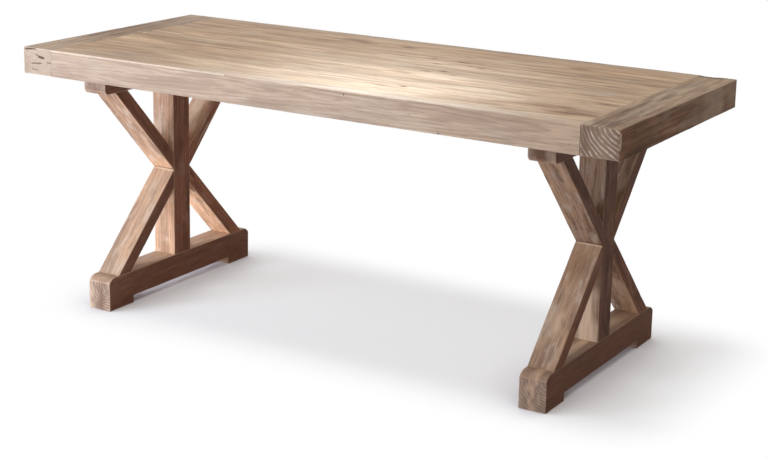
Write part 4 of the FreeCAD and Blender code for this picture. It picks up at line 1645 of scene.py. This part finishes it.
@dataclass(frozen=True)
class Studio:
    """A pale seamless floor, a white background and large soft lamps.

    The floor shows its shade inside an oblong below the table and fades to the background round it. Close
    to the table an ambient occlusion lookup, leaned towards the lamps, paints a contact shadow by letting the
    paper's own shaded colour through: the painted shadow's reach and lean say how far it looks for the table
    and which way, and its open levels at which shares of open space it is all paper and all faded.
    """

    floor_reach: float = 14.0
    floor_colour: str = "e4e5f2"
    floor_white: float = 0.64
    shade_middle: Triple = (0.12, 0.04, 0.0)
    shade_half: Triple = (0.73, 0.27, 0.0)
    shade_fade: float = 0.26
    painted_shadow_reach: float = 0.26
    painted_shadow_lean: Triple = (-0.78, 0.05, 0.62)
    painted_shadow_open: tuple[float, float] = (0.3, 0.95)
    ambient: float = 0.38
    ambient_colour: str = "fff0dd"
    lamps: Sequence[Softbox] = (
        Softbox("key_softbox", (-3.0, -2.0, 2.4), (-0.5, 0.0, 0.5), 1.0, 0.8, 42.0, "e8f1ff"),
        Softbox("low_softbox", (-2.2, -2.6, 0.6), (-0.5, 0.0, 0.4), 1.0, 0.6, 66.0, "e8f1ff"),
        Softbox("front_softbox", (0.2, -4.2, 1.0), (0.2, 0.0, 0.5), 3.0, 1.2, 14.0, "fff0de"),
        Softbox("back_softbox", (-1.8, 2.7, 1.6), (0.0, -0.2, 0.75), 1.1, 0.8, 4.0),
        Softbox("overhead_softbox", (-0.2, -0.3, 3.4), (0.0, 0.0, 0.7), 1.8, 1.2, 25.0, "fff3e2"),
        Softbox("front_pool", (0.18, -0.34, 1.38), (0.18, -0.34, 0.75), 0.5, 0.3, 2.6, "d4ebff", 95.0),
        Softbox("corner_softbox", (-1.2, -0.2, 0.2), (-0.69, 0.05, 0.2), 0.22, 0.2, 0.85, "ffffff", 70.0),
    )

    def build(self) -> None:
        """Lays the floor, sets the background and hangs the lamps."""
        half = self.floor_reach / 2
        mesh = bpy.data.meshes.new("studio_floor")
        corners = [(-half, -half, 0.0), (half, -half, 0.0), (half, half, 0.0), (-half, half, 0.0)]
        mesh.from_pydata(corners, [], [(0, 1, 2, 3)])
        mesh.materials.append(self.paper())
        in_scene(mesh.name, mesh)
        self.background()
        for lamp in self.lamps:
            lamp.build()

    def paper(self) -> Material:
        """Builds the floor's finish, matt white paper that fades to the background away from the table.

        Returns:
            The material.
        """
        material = bpy.data.materials.new("matt_white_paper")
        tree = blank(material)
        place = add(tree, "ShaderNodeTexCoord").outputs["Object"]
        centred = add(tree, "ShaderNodeVectorMath", place, self.shade_middle, operation="SUBTRACT")
        folded = add(tree, "ShaderNodeVectorMath", centred, operation="ABSOLUTE")
        past = add(tree, "ShaderNodeVectorMath", folded, self.shade_half, operation="SUBTRACT")
        outside = add(tree, "ShaderNodeVectorMath", past, operation="MAXIMUM")
        away = add(tree, "ShaderNodeVectorMath", outside, operation="LENGTH")
        levels = (away, 0.0, self.shade_fade, self.floor_white)
        fade = add(tree, "ShaderNodeMapRange", *levels, interpolation_type="SMOOTHSTEP")
        # Ambient occlusion leaned towards the lamps paints a contact shadow beside the feet.
        lean = Vector(self.painted_shadow_lean).normalized()
        near = add(tree, "ShaderNodeAmbientOcclusion", Distance=self.painted_shadow_reach, Normal=lean)
        outside_painted_shadow = add(tree, "ShaderNodeMapRange", near.outputs["AO"], *self.painted_shadow_open)
        whitened = add(tree, "ShaderNodeMath", fade, outside_painted_shadow, operation="MULTIPLY")
        seen = add(tree, "ShaderNodeLightPath").outputs["Is Camera Ray"]
        share = add(tree, "ShaderNodeMath", whitened, seen, operation="MULTIPLY")
        paper = add(tree, "ShaderNodeBsdfDiffuse", Color=linear(self.floor_colour))
        white = add(tree, "ShaderNodeEmission", Color=WHITE, Strength=1.0)
        mixed = add(tree, "ShaderNodeMixShader", share, paper, white)
        under = add(tree, "ShaderNodeNewGeometry").outputs["Backfacing"]
        clear = add(tree, "ShaderNodeBsdfTransparent")
        one_sided = add(tree, "ShaderNodeMixShader", under, mixed, clear)
        add(tree, "ShaderNodeOutputMaterial", Surface=one_sided)
        return material

    def background(self) -> None:
        """Sets the world: white to the camera and in reflections, and a plain dim light otherwise."""
        world = bpy.data.worlds.new("studio")
        bpy.context.scene.world = world
        tree = blank(world)
        path = add(tree, "ShaderNodeLightPath").outputs
        mirrors = (path["Is Glossy Ray"], path["Is Transmission Ray"])
        mirrored = add(tree, "ShaderNodeMath", *mirrors, operation="MAXIMUM")
        seen = add(tree, "ShaderNodeMath", mirrored, path["Is Camera Ray"], operation="MAXIMUM")
        ambient = linear(self.ambient_colour)
        dim = add(tree, "ShaderNodeBackground", Color=ambient, Strength=self.ambient)
        white = add(tree, "ShaderNodeBackground", Color=WHITE, Strength=1.0)
        mixed = add(tree, "ShaderNodeMixShader", seen, dim, white)
        add(tree, "ShaderNodeOutputWorld", Surface=mixed)


@dataclass(frozen=True)
class Viewpoint:
    """Where the camera stands and how its lens is set: angles in radians, lens and middle in pixels, and
    the sensor in mm."""

    place: Triple = (2.3869, -3.861, 1.571)
    yaw: float = 0.5287
    pitch: float = 0.2329
    roll: float = -0.0224
    focal: float = 1680.6
    image_width: int = 768
    middle_shift: tuple[float, float] = (25.75, -75.0)
    sensor: float = 36.0

    def build(self) -> None:
        """Stands the camera and makes it the scene's."""
        cos, sin = math.cos, math.sin
        flat = cos(self.pitch)
        ahead = Vector((-sin(self.yaw) * flat, cos(self.yaw) * flat, -sin(self.pitch)))
        level = Vector((cos(self.yaw), sin(self.yaw), 0.0))
        down = ahead.cross(level)
        right = level * cos(self.roll) + down * sin(self.roll)
        below = down * cos(self.roll) - level * sin(self.roll)
        lens = bpy.data.cameras.new("camera")
        lens.sensor_width = self.sensor
        lens.lens = self.focal / self.image_width * self.sensor
        lens.shift_x = -self.middle_shift[0] / self.image_width
        lens.shift_y = self.middle_shift[1] / self.image_width
        holder = in_scene("camera", lens)
        turn = Matrix((right, -below, -ahead)).transposed()
        holder.matrix_world = Matrix.Translation(Vector(self.place)) @ turn.to_4x4()
        bpy.context.scene.camera = holder


def main() -> None:
    """Builds the table's pieces in order, then the studio and the camera."""
    logging.basicConfig(level=logging.INFO, format="%(name)s: %(message)s")
    finishes = Finishes()
    TableTop(finishes).build()
    Trestle("left", 40, finishes, LEFT_TONES_AND_PAINTED_LIGHT, 0.6, 0.3, LEFT_STAINS_AND_PAINTED_LIGHT).build()
    Trestle("right", 60, finishes, RIGHT_TONES_AND_PAINTED_SHADE, 0.4, 0.0, RIGHT_STAINS_AND_PAINTED_LIGHT).build()
    for side in ("left", "right"):
        Hardware(side, finishes).build()
    Studio().build()
    Viewpoint().build()
    bpy.context.scene.view_settings.view_transform = "Standard"


if __name__ == "__main__":
    main()
